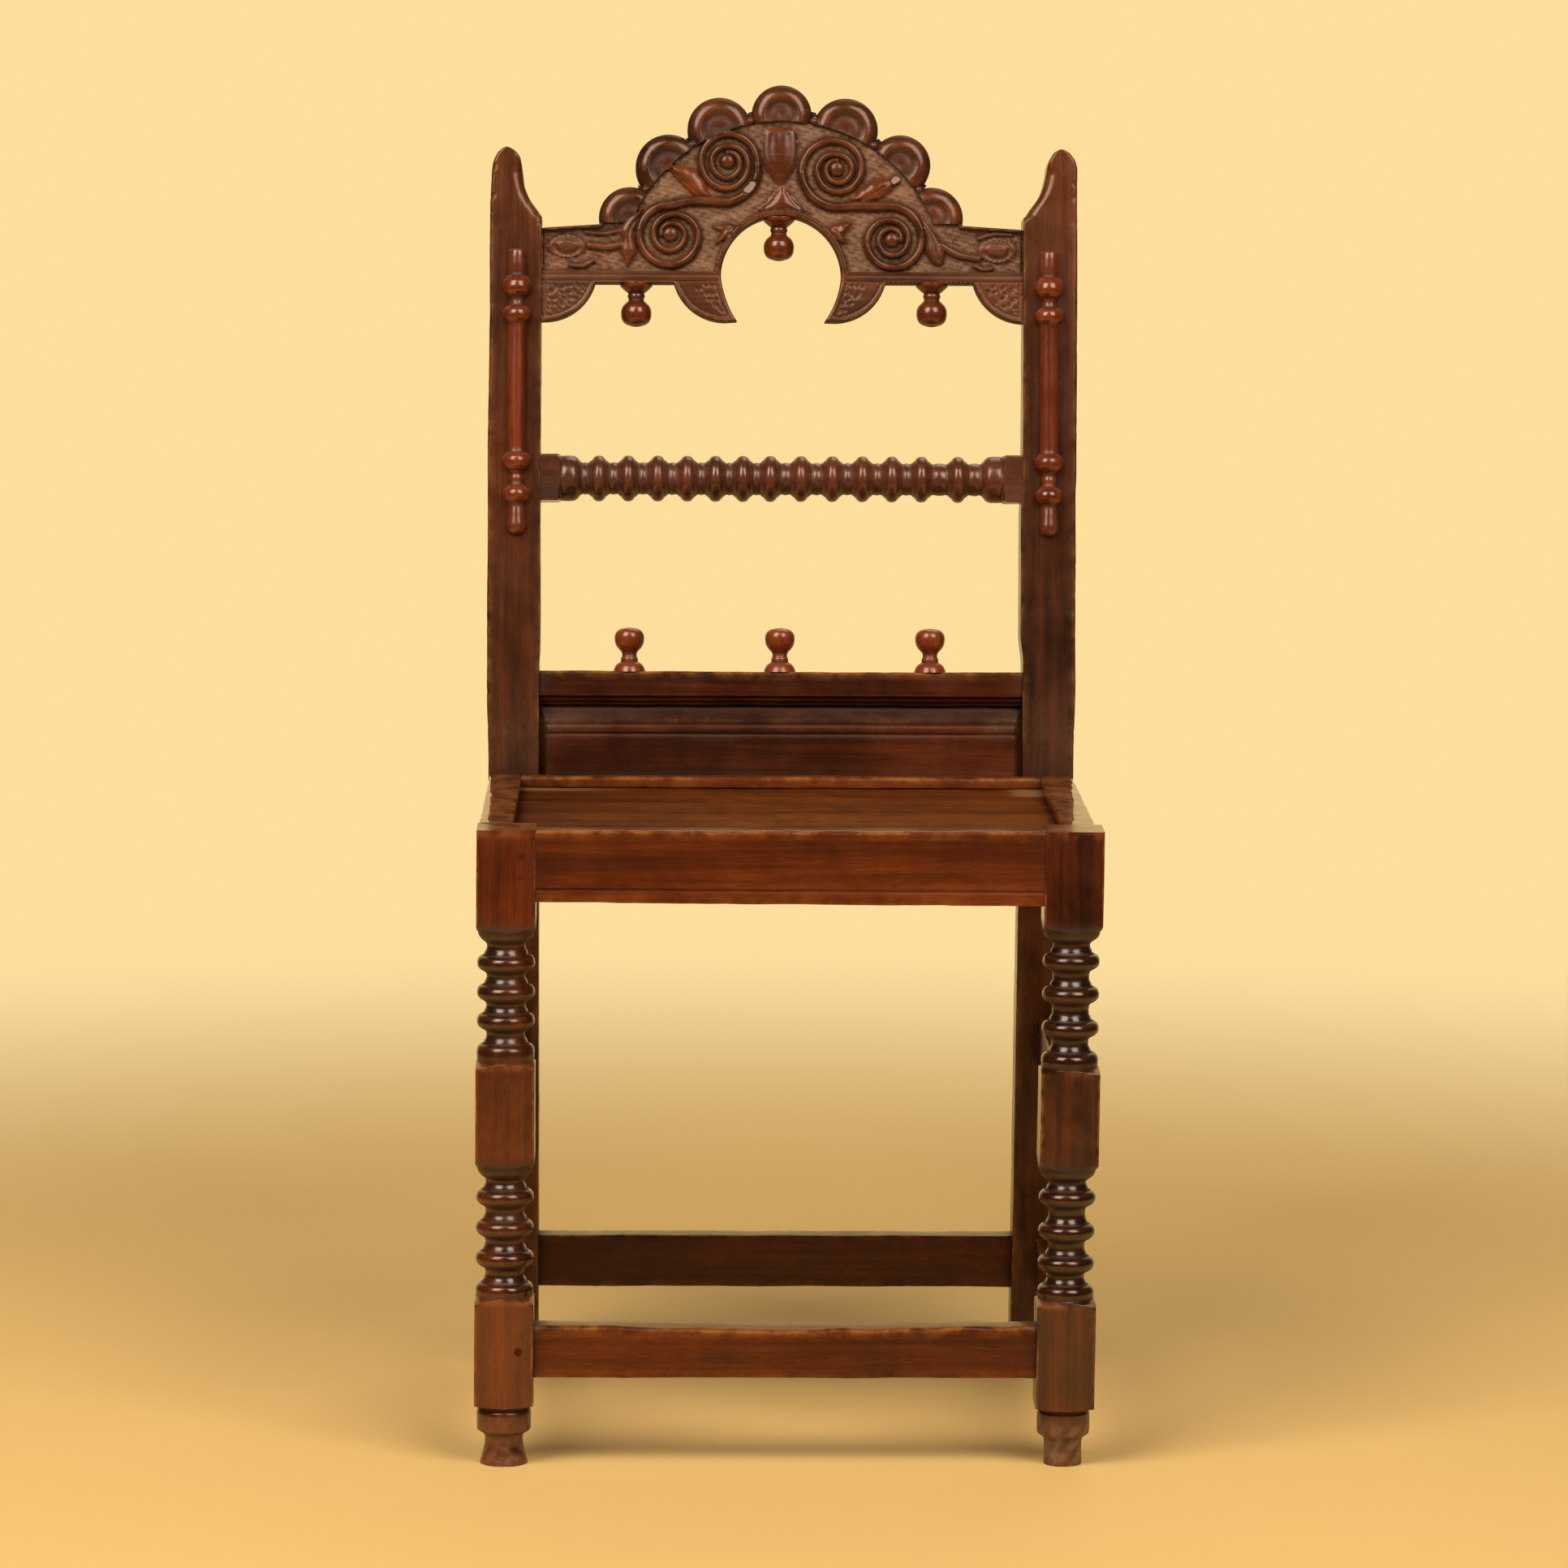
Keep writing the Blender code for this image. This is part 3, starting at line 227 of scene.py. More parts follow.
def timber(name, corners, start, end, place, nodes, slot, along, form=None, lean=upright, tone=0.0, grime=0.75,
           polish=None):
    """A sawn timber with eased edges, lofted along one direction.

    The section's corners run anticlockwise as seen from the far end. Place turns section and run into
    points, and form may reshape them. Tone is a number, or a function of the points. Grime gathers where
    the timber meets its neighbours.
    """
    seed = len(PIECES)
    section, edge_wear = rounded(corners, 5.0)
    runs = np.linspace(start, end, max(3, int(abs(end - start) / 7.0)))
    rings = []
    wear = []
    dirt = []
    middle = section.mean(axis=0)
    for run in runs:
        flat = np.column_stack((section, np.full(len(section), run)))
        swell = ripple(flat, 70.0, seed) * 0.22 + ripple(flat, 17.0, seed + 500) * 0.07
        outward = section - middle
        outward /= np.linalg.norm(outward, axis=1, keepdims=True)
        nicks = edge_wear * np.clip(ripple(flat, 11.0, seed + 900) - 0.45, 0.0, 1.0) * 0.9
        shaped = section + outward * (swell - nicks)[:, None]
        points = place(shaped[:, 0], shaped[:, 1], np.full(len(section), run))
        if form is not None:
            points = form(points)
        rings.append(points)
        wear.append(edge_wear)
        close = max(0.0, min(abs(run - start), abs(run - end)) - HOUSED)
        dirt.append(np.full(len(section), grime * math.exp(-close / 4.0)))
    points = np.concatenate(rings)
    marks = {"wear": np.concatenate(wear), "dirt": np.concatenate(dirt)}
    marks["tone"] = tone(points) if callable(tone) else tone
    if polish is not None:
        marks["polish"] = polish(points)
        marks["wear"] = np.maximum(marks["wear"], 0.8 * marks["polish"])
    return add_piece(name, lean(points), loft_faces(len(rings), len(section)), marks, nodes, slot, along)


def run_across(first, second, run):
    """Section of inward and up, run across the stool."""
    return np.stack((run, first, second), axis=1)


def run_inward(first, second, run):
    """Section of up and across, run from front to back."""
    return np.stack((second, run, first), axis=1)


def box_corners(low, high, radius, worn=0.8):
    """Corners of a plain rectangular section."""
    return [
        (low[0], low[1], radius, worn),
        (high[0], low[1], radius, worn),
        (high[0], high[1], radius, worn),
        (low[0], high[1], radius, worn),
    ]


# Turning


def blurred(values, spacing, reach):
    count = max(1, int(3 * reach / spacing))
    kernel = np.exp(-0.5 * (np.arange(-count, count + 1) * spacing / reach) ** 2)
    return np.convolve(np.pad(values, count, mode="edge"), kernel / kernel.sum(), mode="valid")


def profile_curve(stops, spacing, soften):
    """A lathe profile of run and radius through the stops, slightly softened."""
    stops = np.asarray(stops, float)
    runs = np.arange(stops[0, 0], stops[-1, 0] + spacing / 2, spacing)
    return runs, blurred(np.interp(runs, stops[:, 0], stops[:, 1]), spacing, soften)


def lathe_marks(runs, radii, stations, cap):
    """Wear on the crowns, and darkening in the creases of a turning that is dirt and painted shade, at each station."""
    shown = np.minimum(radii, cap)
    hollow = np.interp(stations, runs, blurred(shown, runs[1] - runs[0], 1.3) - shown)
    return np.clip(-hollow * 1.1, 0.0, 1.0), np.clip(hollow * 1.7 - 0.05, 0.0, 1.0)


def choose_stations(runs, radii, cap, count):
    """Stations that crowd where the profile turns."""
    shown = np.minimum(radii, cap)
    measure = np.abs(np.diff(runs)) * 0.22 + np.abs(np.diff(shown))
    total = np.concatenate(([0.0], np.cumsum(measure)))
    marks = np.linspace(0.0, total[-1], count)
    stations = np.interp(marks, total, runs)
    return stations, np.interp(stations, runs, radii)


def bell(middle, half, low, high, count=9, fullness=0.75):
    """Stops of one turned ring, from its lower to its upper edge."""
    stops = []
    for t in np.linspace(-1.0, 1.0, count):
        share = (0.5 + 0.5 * math.cos(math.pi * t)) ** fullness
        stops.append((middle + half * t, low + (high - low) * share))
    return stops


def around(count, corners):
    """Angles round a turning, with more of them near the corners of a square."""
    angles = np.linspace(0.0, math.tau, count, endpoint=False)
    if corners:
        near = np.radians(np.array((-5.0, -2.5, -1.0, 1.0, 2.5, 5.0)))
        corner = np.radians(np.array((45.0, 135.0, 225.0, 315.0)))
        angles = np.concatenate((angles, (corner[:, None] + near[None, :]).ravel()))
    return np.unique(np.round(np.mod(angles, math.tau), 5))


def turned(stations, radii, angles, half_square, seed, wobble=0.12):
    """Points of a turning left square where its profile is wide, with how worn and dirty they are."""
    cos = np.cos(angles)
    sin = np.sin(angles)
    reach = np.repeat(radii[:, None], len(angles), axis=1)
    wear = np.zeros(reach.shape)
    if half_square:
        power = 34
        square = half_square / (np.abs(cos) ** power + np.abs(sin) ** power) ** (1 / power)
        blend = 0.35
        near = np.clip(reach, 0.0, half_square * 1.6)
        reach = -blend * np.log(np.exp(-near / blend) + np.exp(-square[None, :] / blend))
        inner = np.minimum(np.abs(reach * cos), np.abs(reach * sin))
        wear = smoothstep(half_square * 0.9, half_square * 0.985, inner)
    runs = np.repeat(stations[:, None], len(angles), axis=1)
    flat = np.stack((reach * cos, reach * sin, runs), axis=-1).reshape(-1, 3)
    swell = ripple(flat, 60.0, seed) * wobble + ripple(flat, 14.0, seed + 500) * wobble * 0.4
    nicks = wear.ravel() * np.clip(ripple(flat, 9.0, seed + 900) - 0.4, 0.0, 1.0) * 1.0
    scale = 1 + (swell - nicks) / np.maximum(reach.ravel(), 1.0)
    flat[:, :2] *= scale[:, None]
    return flat, wear.ravel()


# Front legs

LEG_HALF = LEG / 2

# Heights of each leg's blocks and rings, as its turner left them. A zone of turning is the bottom of the
# block above, its rings, the ring on the block below and the top of that block. Lean is how far the foot and
# the top stand off their drawn place.
LEG_TURNING = {
    "left": {
        "upper": (420.0, (344.7, 367.0, 389.6), 321.4, 313.5),
        "lower": (237.8, (160.4, 184.2, 208.3), 135.8, 131.0),
        "block_bottom": 45.8,
        "foot": ((0.0, 18.2), (1.0, 18.5), (4.0, 17.6), (10.0, 16.0), (16.0, 14.9), (20.5, 14.4), (23.0, 15.2)),
        "foot_ring": (20.9, 25.2),
        "ring": 22.4,
        "reel": 14.8,
        "half": LEG_HALF + 0.35,
        "lean": (-1.6, 0.5),
        "foot_dust": 0.4,
        "tone": 0.0,
    },
    "right": {
        "upper": (421.3, (340.2, 366.5, 392.0), 315.9, 309.9),
        "lower": (236.9, (157.3, 182.4, 208.7), 135.0, 129.6),
        "block_bottom": 44.4,
        "foot": ((0.0, 14.5), (1.2, 14.9), (6.0, 14.6), (14.0, 14.5), (19.0, 14.7), (21.0, 15.3)),
        "foot_ring": (20.5, 23.0),
        "ring": 22.0,
        "reel": 14.1,
        "half": LEG_HALF + 0.4,
        "lean": (-0.9, 2.8),
        "foot_dust": 0.8,
        "tone": -0.5,
    },
}


def leg_shift(word, height):
    foot, top = LEG_TURNING[word]["lean"]
    return foot + (top - foot) * height / SEAT_HEIGHT


def ring_above(middle, ring, reel):
    """The crown of a ring, the crease over it and the sloping bead that lies there."""
    falls = ((0.0, 0.0), (1.0, 0.1), (2.0, 0.4), (3.2, 0.9), (4.2, 1.6), (5.0, 2.7), (5.5, 4.2))
    rises = ((5.9, 2.0), (6.3, 1.9), (6.9, 2.1), (8.0, 1.8), (9.2, 1.2), (10.4, 0.4), (11.2, 0.0))
    stops = [(middle + run, ring - fall) for run, fall in falls]
    return stops + [(middle + run, reel + rise) for run, rise in rises]


def ring_below(middle, ring, reel):
    """The slope from a neck up to the crown of a ring."""
    falls = ((5.8, 3.7), (4.3, 1.8), (2.8, 0.7), (1.4, 0.15))
    stops = [(middle - 9.4, reel), (middle - 8.0, reel + 0.7), (middle - 6.8, reel + 2.0)]
    return stops + [(middle - run, ring - fall) for run, fall in falls]


def leg_turning(zone, turning):
    """Stops of the rings between two blocks of a leg, from the lower block up."""
    top, middles, base, bottom = zone
    half = turning["half"]
    ring = turning["ring"]
    reel = turning["reel"]
    corner = half * 1.41
    stops = [(bottom - 5.2, half * 2), (bottom - 3.2, corner), (bottom - 0.4, half * 1.01)]
    stops += [(bottom + 0.4, ring - 0.6), (bottom + 1.2, ring - 0.8), (bottom + 2.2, ring - 0.2)]
    stops += ring_above(base, ring, reel)
    for middle in middles:
        stops += ring_below(middle, ring, reel) + ring_above(middle, ring, reel)
    stops += [(top - 16.2, reel), (top - 14.6, reel + 0.9), (top - 13.2, reel + 3.0), (top - 11.6, half - 3.2)]
    stops += [(top - 9.8, half - 1.7), (top - 7.6, half - 1.1), (top - 6.2, half - 0.9), (top - 5.4, half)]
    stops += [(top - 3.2, half * 1.16), (top, corner), (top + 2.4, half * 2)]
    return stops


def leg_profile(turning):
    half = turning["half"]
    radius, ring_bottom = turning["foot_ring"]
    block = turning["block_bottom"]
    stops = list(turning["foot"])
    stops += [(ring_bottom, radius - 2.2), (ring_bottom + 1.2, radius - 0.6), (ring_bottom + 2.4, radius)]
    stops += [(block - 4.6, radius), (block - 3.6, radius - 0.3), (block - 2.8, radius - 1.9)]
    stops += [(block - 1.8, radius - 2.0), (block - 1.0, radius - 0.6), (block + 0.2, half)]
    stops += [(block + 2.4, half * 1.41), (block + 4.6, half * 2)]
    stops += leg_turning(turning["lower"], turning) + leg_turning(turning["upper"], turning)
    stops += [(SEAT_HEIGHT - 1.2, half * 2), (SEAT_HEIGHT, half * 1.37)]
    return stops


def make_front_legs():
    angles = around(80, True)
    for word, side in SIDES:
        turning = LEG_TURNING[word]
        half = turning["half"]
        runs, radii = profile_curve(leg_profile(turning), 0.25, 0.3)
        stations, reach = choose_stations(runs, radii, half * 1.42, 360)
        points, wear = turned(stations, reach, angles, half, 40 + side)
        crowns, dirt = lathe_marks(runs, radii, stations, half)
        crowns *= 0.35
        round_part = np.zeros(len(stations))
        # Painted shade on the flanks of the turning that face down.
        underside_shade = smoothstep(0.25, 1.0, np.gradient(np.minimum(reach, half), stations))
        dirt = np.maximum(0.9 * dirt, 0.75 * underside_shade)
        for zone in ("lower", "upper"):
            high, _, _, low = turning[zone]
            crowns = np.maximum(crowns, 0.9 * np.exp(-((stations - low + 2.2) / 2.2) ** 2))
            round_part += smoothstep(low - 2.0, low + 2.0, stations) * smoothstep(high, high - 8.0, stations)
            # Painted shade on the downward-facing shoulder under each block, where the wear is also taken off.
            dirt = np.maximum(dirt, 0.8 * np.exp(-((stations - high + 5.0) / 5.5) ** 2))
            wear *= (1 - 0.9 * np.exp(-((stations - high + 1.0) / 3.0) ** 2)).repeat(len(angles))
        crowns = np.maximum(crowns, 0.8 * smoothstep(SEAT_HEIGHT - 9.0, SEAT_HEIGHT - 1.0, stations))
        low = stations.repeat(len(angles))
        rub = ripple(points, 9.0, 60 + side)
        points[:, 2] += np.clip(1 - low / 6.0, 0.0, 1.0) * np.clip(rub + 0.2, 0.0, 1.0) * 0.6
        wear = np.maximum(wear, crowns.repeat(len(angles)))
        wear = np.maximum(wear, 0.7 * smoothstep(12.0, 2.0, low))
        points += (side * (HALF_WIDTH - LEG_HALF), LEG_HALF, 0.0)
        points[:, 0] += leg_shift(word, low)
        tone = turning["tone"] - 0.08 + (0.05 + 0.15 * turning["tone"]) * (1 - smoothstep(60.0, 380.0, low))
        tone -= 0.5 * round_part.repeat(len(angles))
        dust = turning["foot_dust"] * np.clip(0.7 + 0.5 * rub, 0.0, 1.0) * smoothstep(46.0, 22.0, low)
        # Painted contact shadow round the bottom of the foot.
        dirt = np.maximum(dirt, 0.9 * smoothstep(2.0, 0.6, stations))
        marks = {"wear": wear, "dirt": dirt.repeat(len(angles)), "dust": dust, "tone": tone}
        name = "front_leg_" + word
        add_piece(name + "_turned", points, loft_faces(len(stations), len(angles)), marks, [name], "leg_oak", UP)


# Rear posts

EAR_STEPS = 90
EAR_TOP = 504.2

# Each ear: its coved inner side, outer face, tip, where the outer side starts to round, and its chamfer
EARS = {
    "left": {
        "cove": ((POST_INNER - 0.9, 442.5), (195.8, 447.6), (200.4, 454.5), (204.6, 460.4), (208.2, 467.9), (210.2, 474.8),
                 (211.4, 485.0), (213.4, 495.6), (218.0, 501.2), (223.4, EAR_TOP)),
        "outer": HALF_WIDTH + 1.4,
        "swell": 0.0,
        "tuck": 1.0,
        "bow": 1.2,
        "bow_range": (250.0, 390.0),
        "tip": 223.4,
        "round": 482.0,
        "chamfer": 6.8,
        "spread": (0.0, 0.0),
        "tone": -0.04,
    },
    "right": {
        "cove": ((POST_INNER - 0.9, 442.5), (194.8, 446.8), (197.6, 450.2), (201.4, 456.0), (205.6, 461.6),
                 (209.4, 467.8), (212.2, 475.6), (214.2, 484.6), (216.0, 493.6), (220.2, 500.8), (225.8, EAR_TOP)),
        "outer": HALF_WIDTH + 1.6,
        "swell": 1.7,
        "tuck": 0.0,
        "bow": -0.7,
        "bow_range": (215.0, 245.0),
        "tip": 225.4,
        "round": 486.0,
        "chamfer": 7.2,
        "spread": (5.0, 2.0),
        "tone": -0.12,
    },
}


def ear_inner(ear, up):
    cove = smooth_path(ear["cove"], 0.5)
    order = np.argsort(cove[:, 1])
    straight = POST_INNER - 0.5 * smoothstep(84.0, 100.0, up) - 0.4 * smoothstep(428.0, 440.0, up)
    straight -= ear["swell"] * smoothstep(90.0, 110.0, up) * smoothstep(236.0, 206.0, up)
    return np.maximum(straight, np.interp(up, cove[order, 1], cove[order, 0], left=0.0))


def ear_outer(ear, up):
    rise = np.clip((up - ear["round"]) / (EAR_TOP - ear["round"]), 0.0, 1.0)
    outer = HALF_WIDTH + (ear["outer"] - HALF_WIDTH) * smoothstep(6.0, 70.0, up)
    outer -= ear["tuck"] * smoothstep(455.0, 485.0, up)
    outer -= ear["bow"] * smoothstep(*ear["bow_range"], up)
    return outer - (outer - ear["tip"]) * (1 - np.sqrt(1 - rise ** 2))


def post_ring(inner, outer, chamfer, arris, ease):
    """Section of a post, across and inward from its front face, and its wear.

    A wide chamfer of the inner front corner is nearly flat. The outer front corner is rounded by the arris.
    """
    limit = (outer - inner) * 0.45
    wide = float(smoothstep(2.0, 5.0, np.array(chamfer)))
    corners = [
        (inner, 0.0, min(max(chamfer, ease), limit), 1.0, 0.25 * wide),
        (outer, 0.0, min(arris, limit), 0.8, 0.0),
        (outer, POST, min(ease, limit), 0.7, 0.0),
        (inner, POST, min(ease, limit), 0.7, 0.0),
    ]
    points = []
    wear = []
    for index, (across, depth, reach, worn, hollow) in enumerate(corners):
        corner = np.array((across, depth))
        before = np.array(corners[index - 1][:2])
        after = np.array(corners[(index + 1) % 4][:2])
        shallow = 1 - 0.2 * wide if index == 0 else 1.0
        start = corner + (before - corner) / np.linalg.norm(before - corner) * reach * shallow
        end = corner + (after - corner) / np.linalg.norm(after - corner) * reach
        middle = (start + end) / 2
        pull = corner * (1 - hollow) + (middle + (middle - corner) * 0.3) * hollow
        for t in np.linspace(0.0, 1.0, 9):
            points.append(start * (1 - t) ** 2 + pull * 2 * t * (1 - t) + end * t * t)
            rubbed = math.sin(math.pi * t) * (1 - hollow) + abs(math.cos(math.pi * t)) ** 3 * hollow
            wear.append(worn * (0.3 + 0.7 * rubbed))
        next_start = after + (corner - after) / np.linalg.norm(corner - after) * corners[(index + 1) % 4][2]
        for t in np.linspace(0.0, 1.0, 9)[1:-1]:
            points.append(end * (1 - t) + next_start * t)
            wear.append(0.0)
    return np.array(points), np.array(wear)


def make_rear_posts():
    tilt = math.atan2(REAR_SPLAY, KNEE)
    mitre = POST / math.cos((RAKE + tilt) / 2)
    middle_lean = (RAKE - tilt) / 2
    knee = np.array((0.0, SEAT_DEPTH, KNEE))
    knee_back = knee + mitre * np.array((0.0, math.cos(middle_lean), -math.sin(middle_lean)))
    foot = np.array((0.0, SEAT_DEPTH + REAR_SPLAY, 0.0))
    foot_back = foot + (0.0, POST / math.cos(tilt), 0.0)
    ear_rises = EAR_TOP - 0.4 - 64.0 * np.linspace(1.0, 0.0, EAR_STEPS) ** 1.3
    rises = np.concatenate((np.linspace(6.0, 438.0, 110), ear_rises))
    stations = [("below", t) for t in np.linspace(0.0, 1.0, 70)]
    stations += [("above", rise) for rise in rises]
    for word, side in SIDES:
        ear = EARS[word]
        inners = ear_inner(ear, rises)
        outers = ear_outer(ear, rises)
        chamfers = ear["chamfer"] * smoothstep(443.0, 451.0, rises) * (1 - smoothstep(482.0, 498.0, rises))
        seed = 70 + side
        rings = []
        wear = []
        dirt = []
        dust = []
        polish = []
        for index, (zone, value) in enumerate(stations):
            if zone == "below":
                foot_spread, seat_spread = ear["spread"]
                spread = foot_spread + (seat_spread - foot_spread) * value
                spread *= 1 - float(smoothstep(0.9, 0.97, np.array(value)))
                section, edge = post_ring(POST_INNER - spread, HALF_WIDTH, 1.5, 2.6, 1.5)
                front = foot * (1 - value) + knee * value
                back = foot_back * (1 - value) + knee_back * value
                level = value * KNEE
                deep = 0.9
                smooth = np.zeros(len(section))
            else:
                place = index - 70
                section, edge = post_ring(inners[place], outers[place], 1.5 + chamfers[place], 3.2, 1.5)
                front = leaning([(0.0, 0.0, value)])[0]
                back = leaning([(0.0, POST, value)])[0]
                level = KNEE + value
                deep = 1.2 if value > 446.0 or value < 130.0 else 0.9
                smooth = smoothstep(chamfers[place] + 5.0, chamfers[place] + 2.0, section[:, 0] - inners[place])
                smooth = smooth * min(1.0, chamfers[place] / 3.0) * (section[:, 1] < POST / 2)
            points = front + (back - front) * section[:, 1:2] / POST
            points[:, 0] = section[:, 0]
            if side < 0:
                points[:, 0] *= -1
                points = points[::-1]
                edge = edge[::-1]
                smooth = smooth[::-1]
            flat = np.column_stack((points[:, 0], points[:, 1] * 0.3, np.full(len(points), level)))
            swell = ripple(flat, 90.0, seed) * 0.25 + ripple(flat, 15.0, seed + 500) * 0.08
            nicks = edge * np.clip(ripple(flat, 8.0, seed + 900) - 0.35, 0.0, 1.0)
            outward = points - points.mean(axis=0)
            outward /= np.linalg.norm(outward, axis=1, keepdims=True)
            rings.append(points + outward * (swell - nicks * deep * (1 - 0.85 * smooth))[:, None])
            wear.append(edge * (0.75 + 0.6 * nicks) * (1 - 0.5 * smooth))
            polish.append(0.4 * smooth)
            dirt.append(np.full(len(points), 0.5 * math.exp(-abs(level - SEAT_HEIGHT) / 9.0)))
            dust.append(np.full(len(points), 0.14 * math.exp(-abs(level - KNEE - 28.0) / 22.0)))
        points = np.concatenate(rings)
        marks = {"wear": np.concatenate(wear), "dirt": np.concatenate(dirt), "dust": np.concatenate(dust)}
        marks["polish"] = np.concatenate(polish)
        marks["tone"] = ear["tone"] + 0.5 * smoothstep(360.0, 470.0, points[:, 2] - KNEE)
        marks["tone"] -= 0.12 * smoothstep(200.0, 60.0, points[:, 2] - KNEE)
        name = "rear_post_" + word
        add_piece(name + "_shaped", points, loft_faces(len(rings), len(rings[0])), marks, [name], "post_oak",
                  UP_THE_BACK)


# Seat rails, stretchers and the seat


RAIL_BOTTOM = SEAT_HEIGHT - 55.2
SEAT_TOP = SEAT_HEIGHT - 9.0
SEAT_BOTTOM = SEAT_TOP - 12.0
TONGUE = 7.0
MOULD_LINE = 448.7


def post_front(height):
    return SEAT_DEPTH + REAR_SPLAY * (KNEE - height) / KNEE


def front_rail_slope(points):
    """The lower edge of the front rail falls a little to the right."""
    low = 1 - smoothstep(RAIL_BOTTOM, RAIL_BOTTOM + 24.0, points[:, 2])
    points[:, 2] -= low * 2.4 * (0.5 + points[:, 0] / (2 * LEG_INNER))
    return points


def rail_polish(points):
    """The tops of the side rails are rubbed smooth."""
    return smoothstep(SEAT_HEIGHT - 3.4, SEAT_HEIGHT - 1.2, points[:, 2])


def make_seat_rails():
    front_low, front_high = node_box("front_seat_rail")
    near, far = front_low[1], front_high[1]
    groove = (SEAT_BOTTOM - 0.3, SEAT_TOP + 0.3)
    corners = [
        (near, RAIL_BOTTOM, 1.4, 0.9),
        (far, RAIL_BOTTOM, 1.2, 0.6),
        (far, groove[0], 0.4, 0.2),
        (far - TONGUE, groove[0], 0.4, 0.0),
        (far - TONGUE, groove[1], 0.4, 0.0),
        (far, groove[1], 0.4, 0.2),
        (far, SEAT_HEIGHT - 0.5, 2.2, 0.8),
        (near, SEAT_HEIGHT, 3.2, 1.0),
        (near, MOULD_LINE + 1.5, 0.5, 0.3),
        (near + 1.2, MOULD_LINE + 0.4, 0.3, 0.0),
        (near + 1.0, MOULD_LINE - 0.8, 0.3, 0.0),
        (near + 0.1, MOULD_LINE - 1.8, 0.5, 0.3),
    ]
    reach = LEG_INNER + HOUSED
    timber("front_seat_rail_moulded", corners, -reach, reach, run_across, ["front_seat_rail"], "rail_oak", ACROSS,
           form=front_rail_slope, grime=0.3)
    for word, side in SIDES:
        outer = side * (HALF_WIDTH - 1.0)
        inner = side * (HALF_WIDTH - 27.0)
        lip = side * (HALF_WIDTH - 27.0 + TONGUE)
        half = [
            (RAIL_BOTTOM, outer, 1.4, 0.8),
            (RAIL_BOTTOM, inner, 1.2, 0.5),
            (groove[0], inner, 0.4, 0.2),
            (groove[0], lip, 0.4, 0.0),
            (groove[1], lip, 0.4, 0.0),
            (groove[1], inner, 0.4, 0.2),
            (SEAT_HEIGHT - 0.3, inner, 2.0, 0.9),
            (SEAT_HEIGHT - 0.2, outer, 2.2, 1.0),
        ]
        if side > 0:
            half = half[::-1]
        timber(word + "_seat_rail_eased", half, LEG - HOUSED, post_front(RAIL_BOTTOM + 28.0) + HOUSED, run_inward,
               [word + "_seat_rail"], "rail_oak", INWARD, polish=rail_polish)
    low, high = node_box("rear_seat_rail")
    section = box_corners((low[1], low[2]), (high[1], high[2]), 1.3, 0.6)
    reach = POST_INNER + HOUSED
    timber("rear_seat_rail_eased", section, -reach, reach, run_across, ["rear_seat_rail"], "rail_oak", ACROSS,
           tone=-0.2)


def stretcher_wear(points):
    """The hollow that feet have worn in the top of the front stretcher."""
    low, high = node_box("front_stretcher")
    top = smoothstep(low[2] + 14.0, high[2], points[:, 2])
    hollow = 3.6 * np.exp(-(points[:, 0] / 120.0) ** 2) + 0.5 * ripple(points[:, :1], 60.0, 12)
    front = 1 - smoothstep(low[1], high[1], points[:, 1])
    points[:, 2] -= top * (hollow * (0.55 + 0.45 * front))
    return points


def make_stretchers():
    low, high = node_box("front_stretcher")
    corners = [
        (low[1], low[2] - 1.0, 1.5, 0.7),
        (high[1], low[2] - 1.0, 1.3, 0.5),
        (high[1], high[2], 2.2, 0.8),
        (low[1], high[2], 4.4, 1.0),
    ]
    reach = LEG_INNER + HOUSED
    timber("front_stretcher_worn", corners, -reach, reach, run_across, ["front_stretcher"], "rail_oak", ACROSS,
           form=stretcher_wear, tone=-0.14)
    low, high = node_box("rear_stretcher")
    reach = POST_INNER + HOUSED
    section = box_corners((low[1], low[2] - 2.8), (high[1], high[2]), 1.4, 0.6)
    timber("rear_stretcher_eased", section, -reach, reach, run_across, ["rear_stretcher"], "rail_oak", ACROSS,
           tone=-0.7)
    for word, side in SIDES:
        for level in ("low", "high"):
            node = word + "_" + level + "_stretcher"
            low, high = node_box(node)
            section = box_corners((low[2], low[0]), (high[2], high[0]), 1.5, 0.7)
            end = post_front((low[2] + high[2]) / 2) + HOUSED
            timber(node + "_eased", section, LEG - HOUSED, end, run_inward, [node], "rail_oak", INWARD)


def fillet_tone(points):
    """The middle of the fillet is rubbed bright."""
    return 0.8 * np.exp(-(points[:, 0] / 150.0) ** 4)


def make_fillet():
    low, high = node_box("seat_back_fillet")
    corners = box_corners((low[1], low[2] - 0.2), (high[1], high[2]), 1.2, 0.6)
    corners[3] = (low[1], high[2], 3.6, 1.0)
    timber("seat_back_fillet_eased", corners, low[0], high[0], run_across, ["seat_back_fillet"], "rail_oak", ACROSS,
           tone=fillet_tone, grime=0.4)


# Flat plates with a shaped face


def subdivide(outline, step):
    """A closed outline with points no further apart than the step."""
    points = []
    for index, start in enumerate(outline):
        start = np.asarray(start, float)
        end = np.asarray(outline[(index + 1) % len(outline)], float)
        count = max(1, int(math.ceil(np.linalg.norm(end - start) / step)))
        for t in np.arange(count) / count:
            points.append(start * (1 - t) + end * t)
    return np.array(points)


def path_distance(points, path):
    """Distance from each point to a dense path, and the place of the nearest of its points."""
    best = np.full(len(points), 1e9)
    nearest = np.zeros(len(points), int)
    for start in range(0, len(points), 4000):
        part = points[start:start + 4000]
        gaps = ((part[:, None, :] - path[None, :, :]) ** 2).sum(axis=2)
        nearest[start:start + 4000] = gaps.argmin(axis=1)
        best[start:start + 4000] = gaps.min(axis=1)
    return np.sqrt(best), nearest


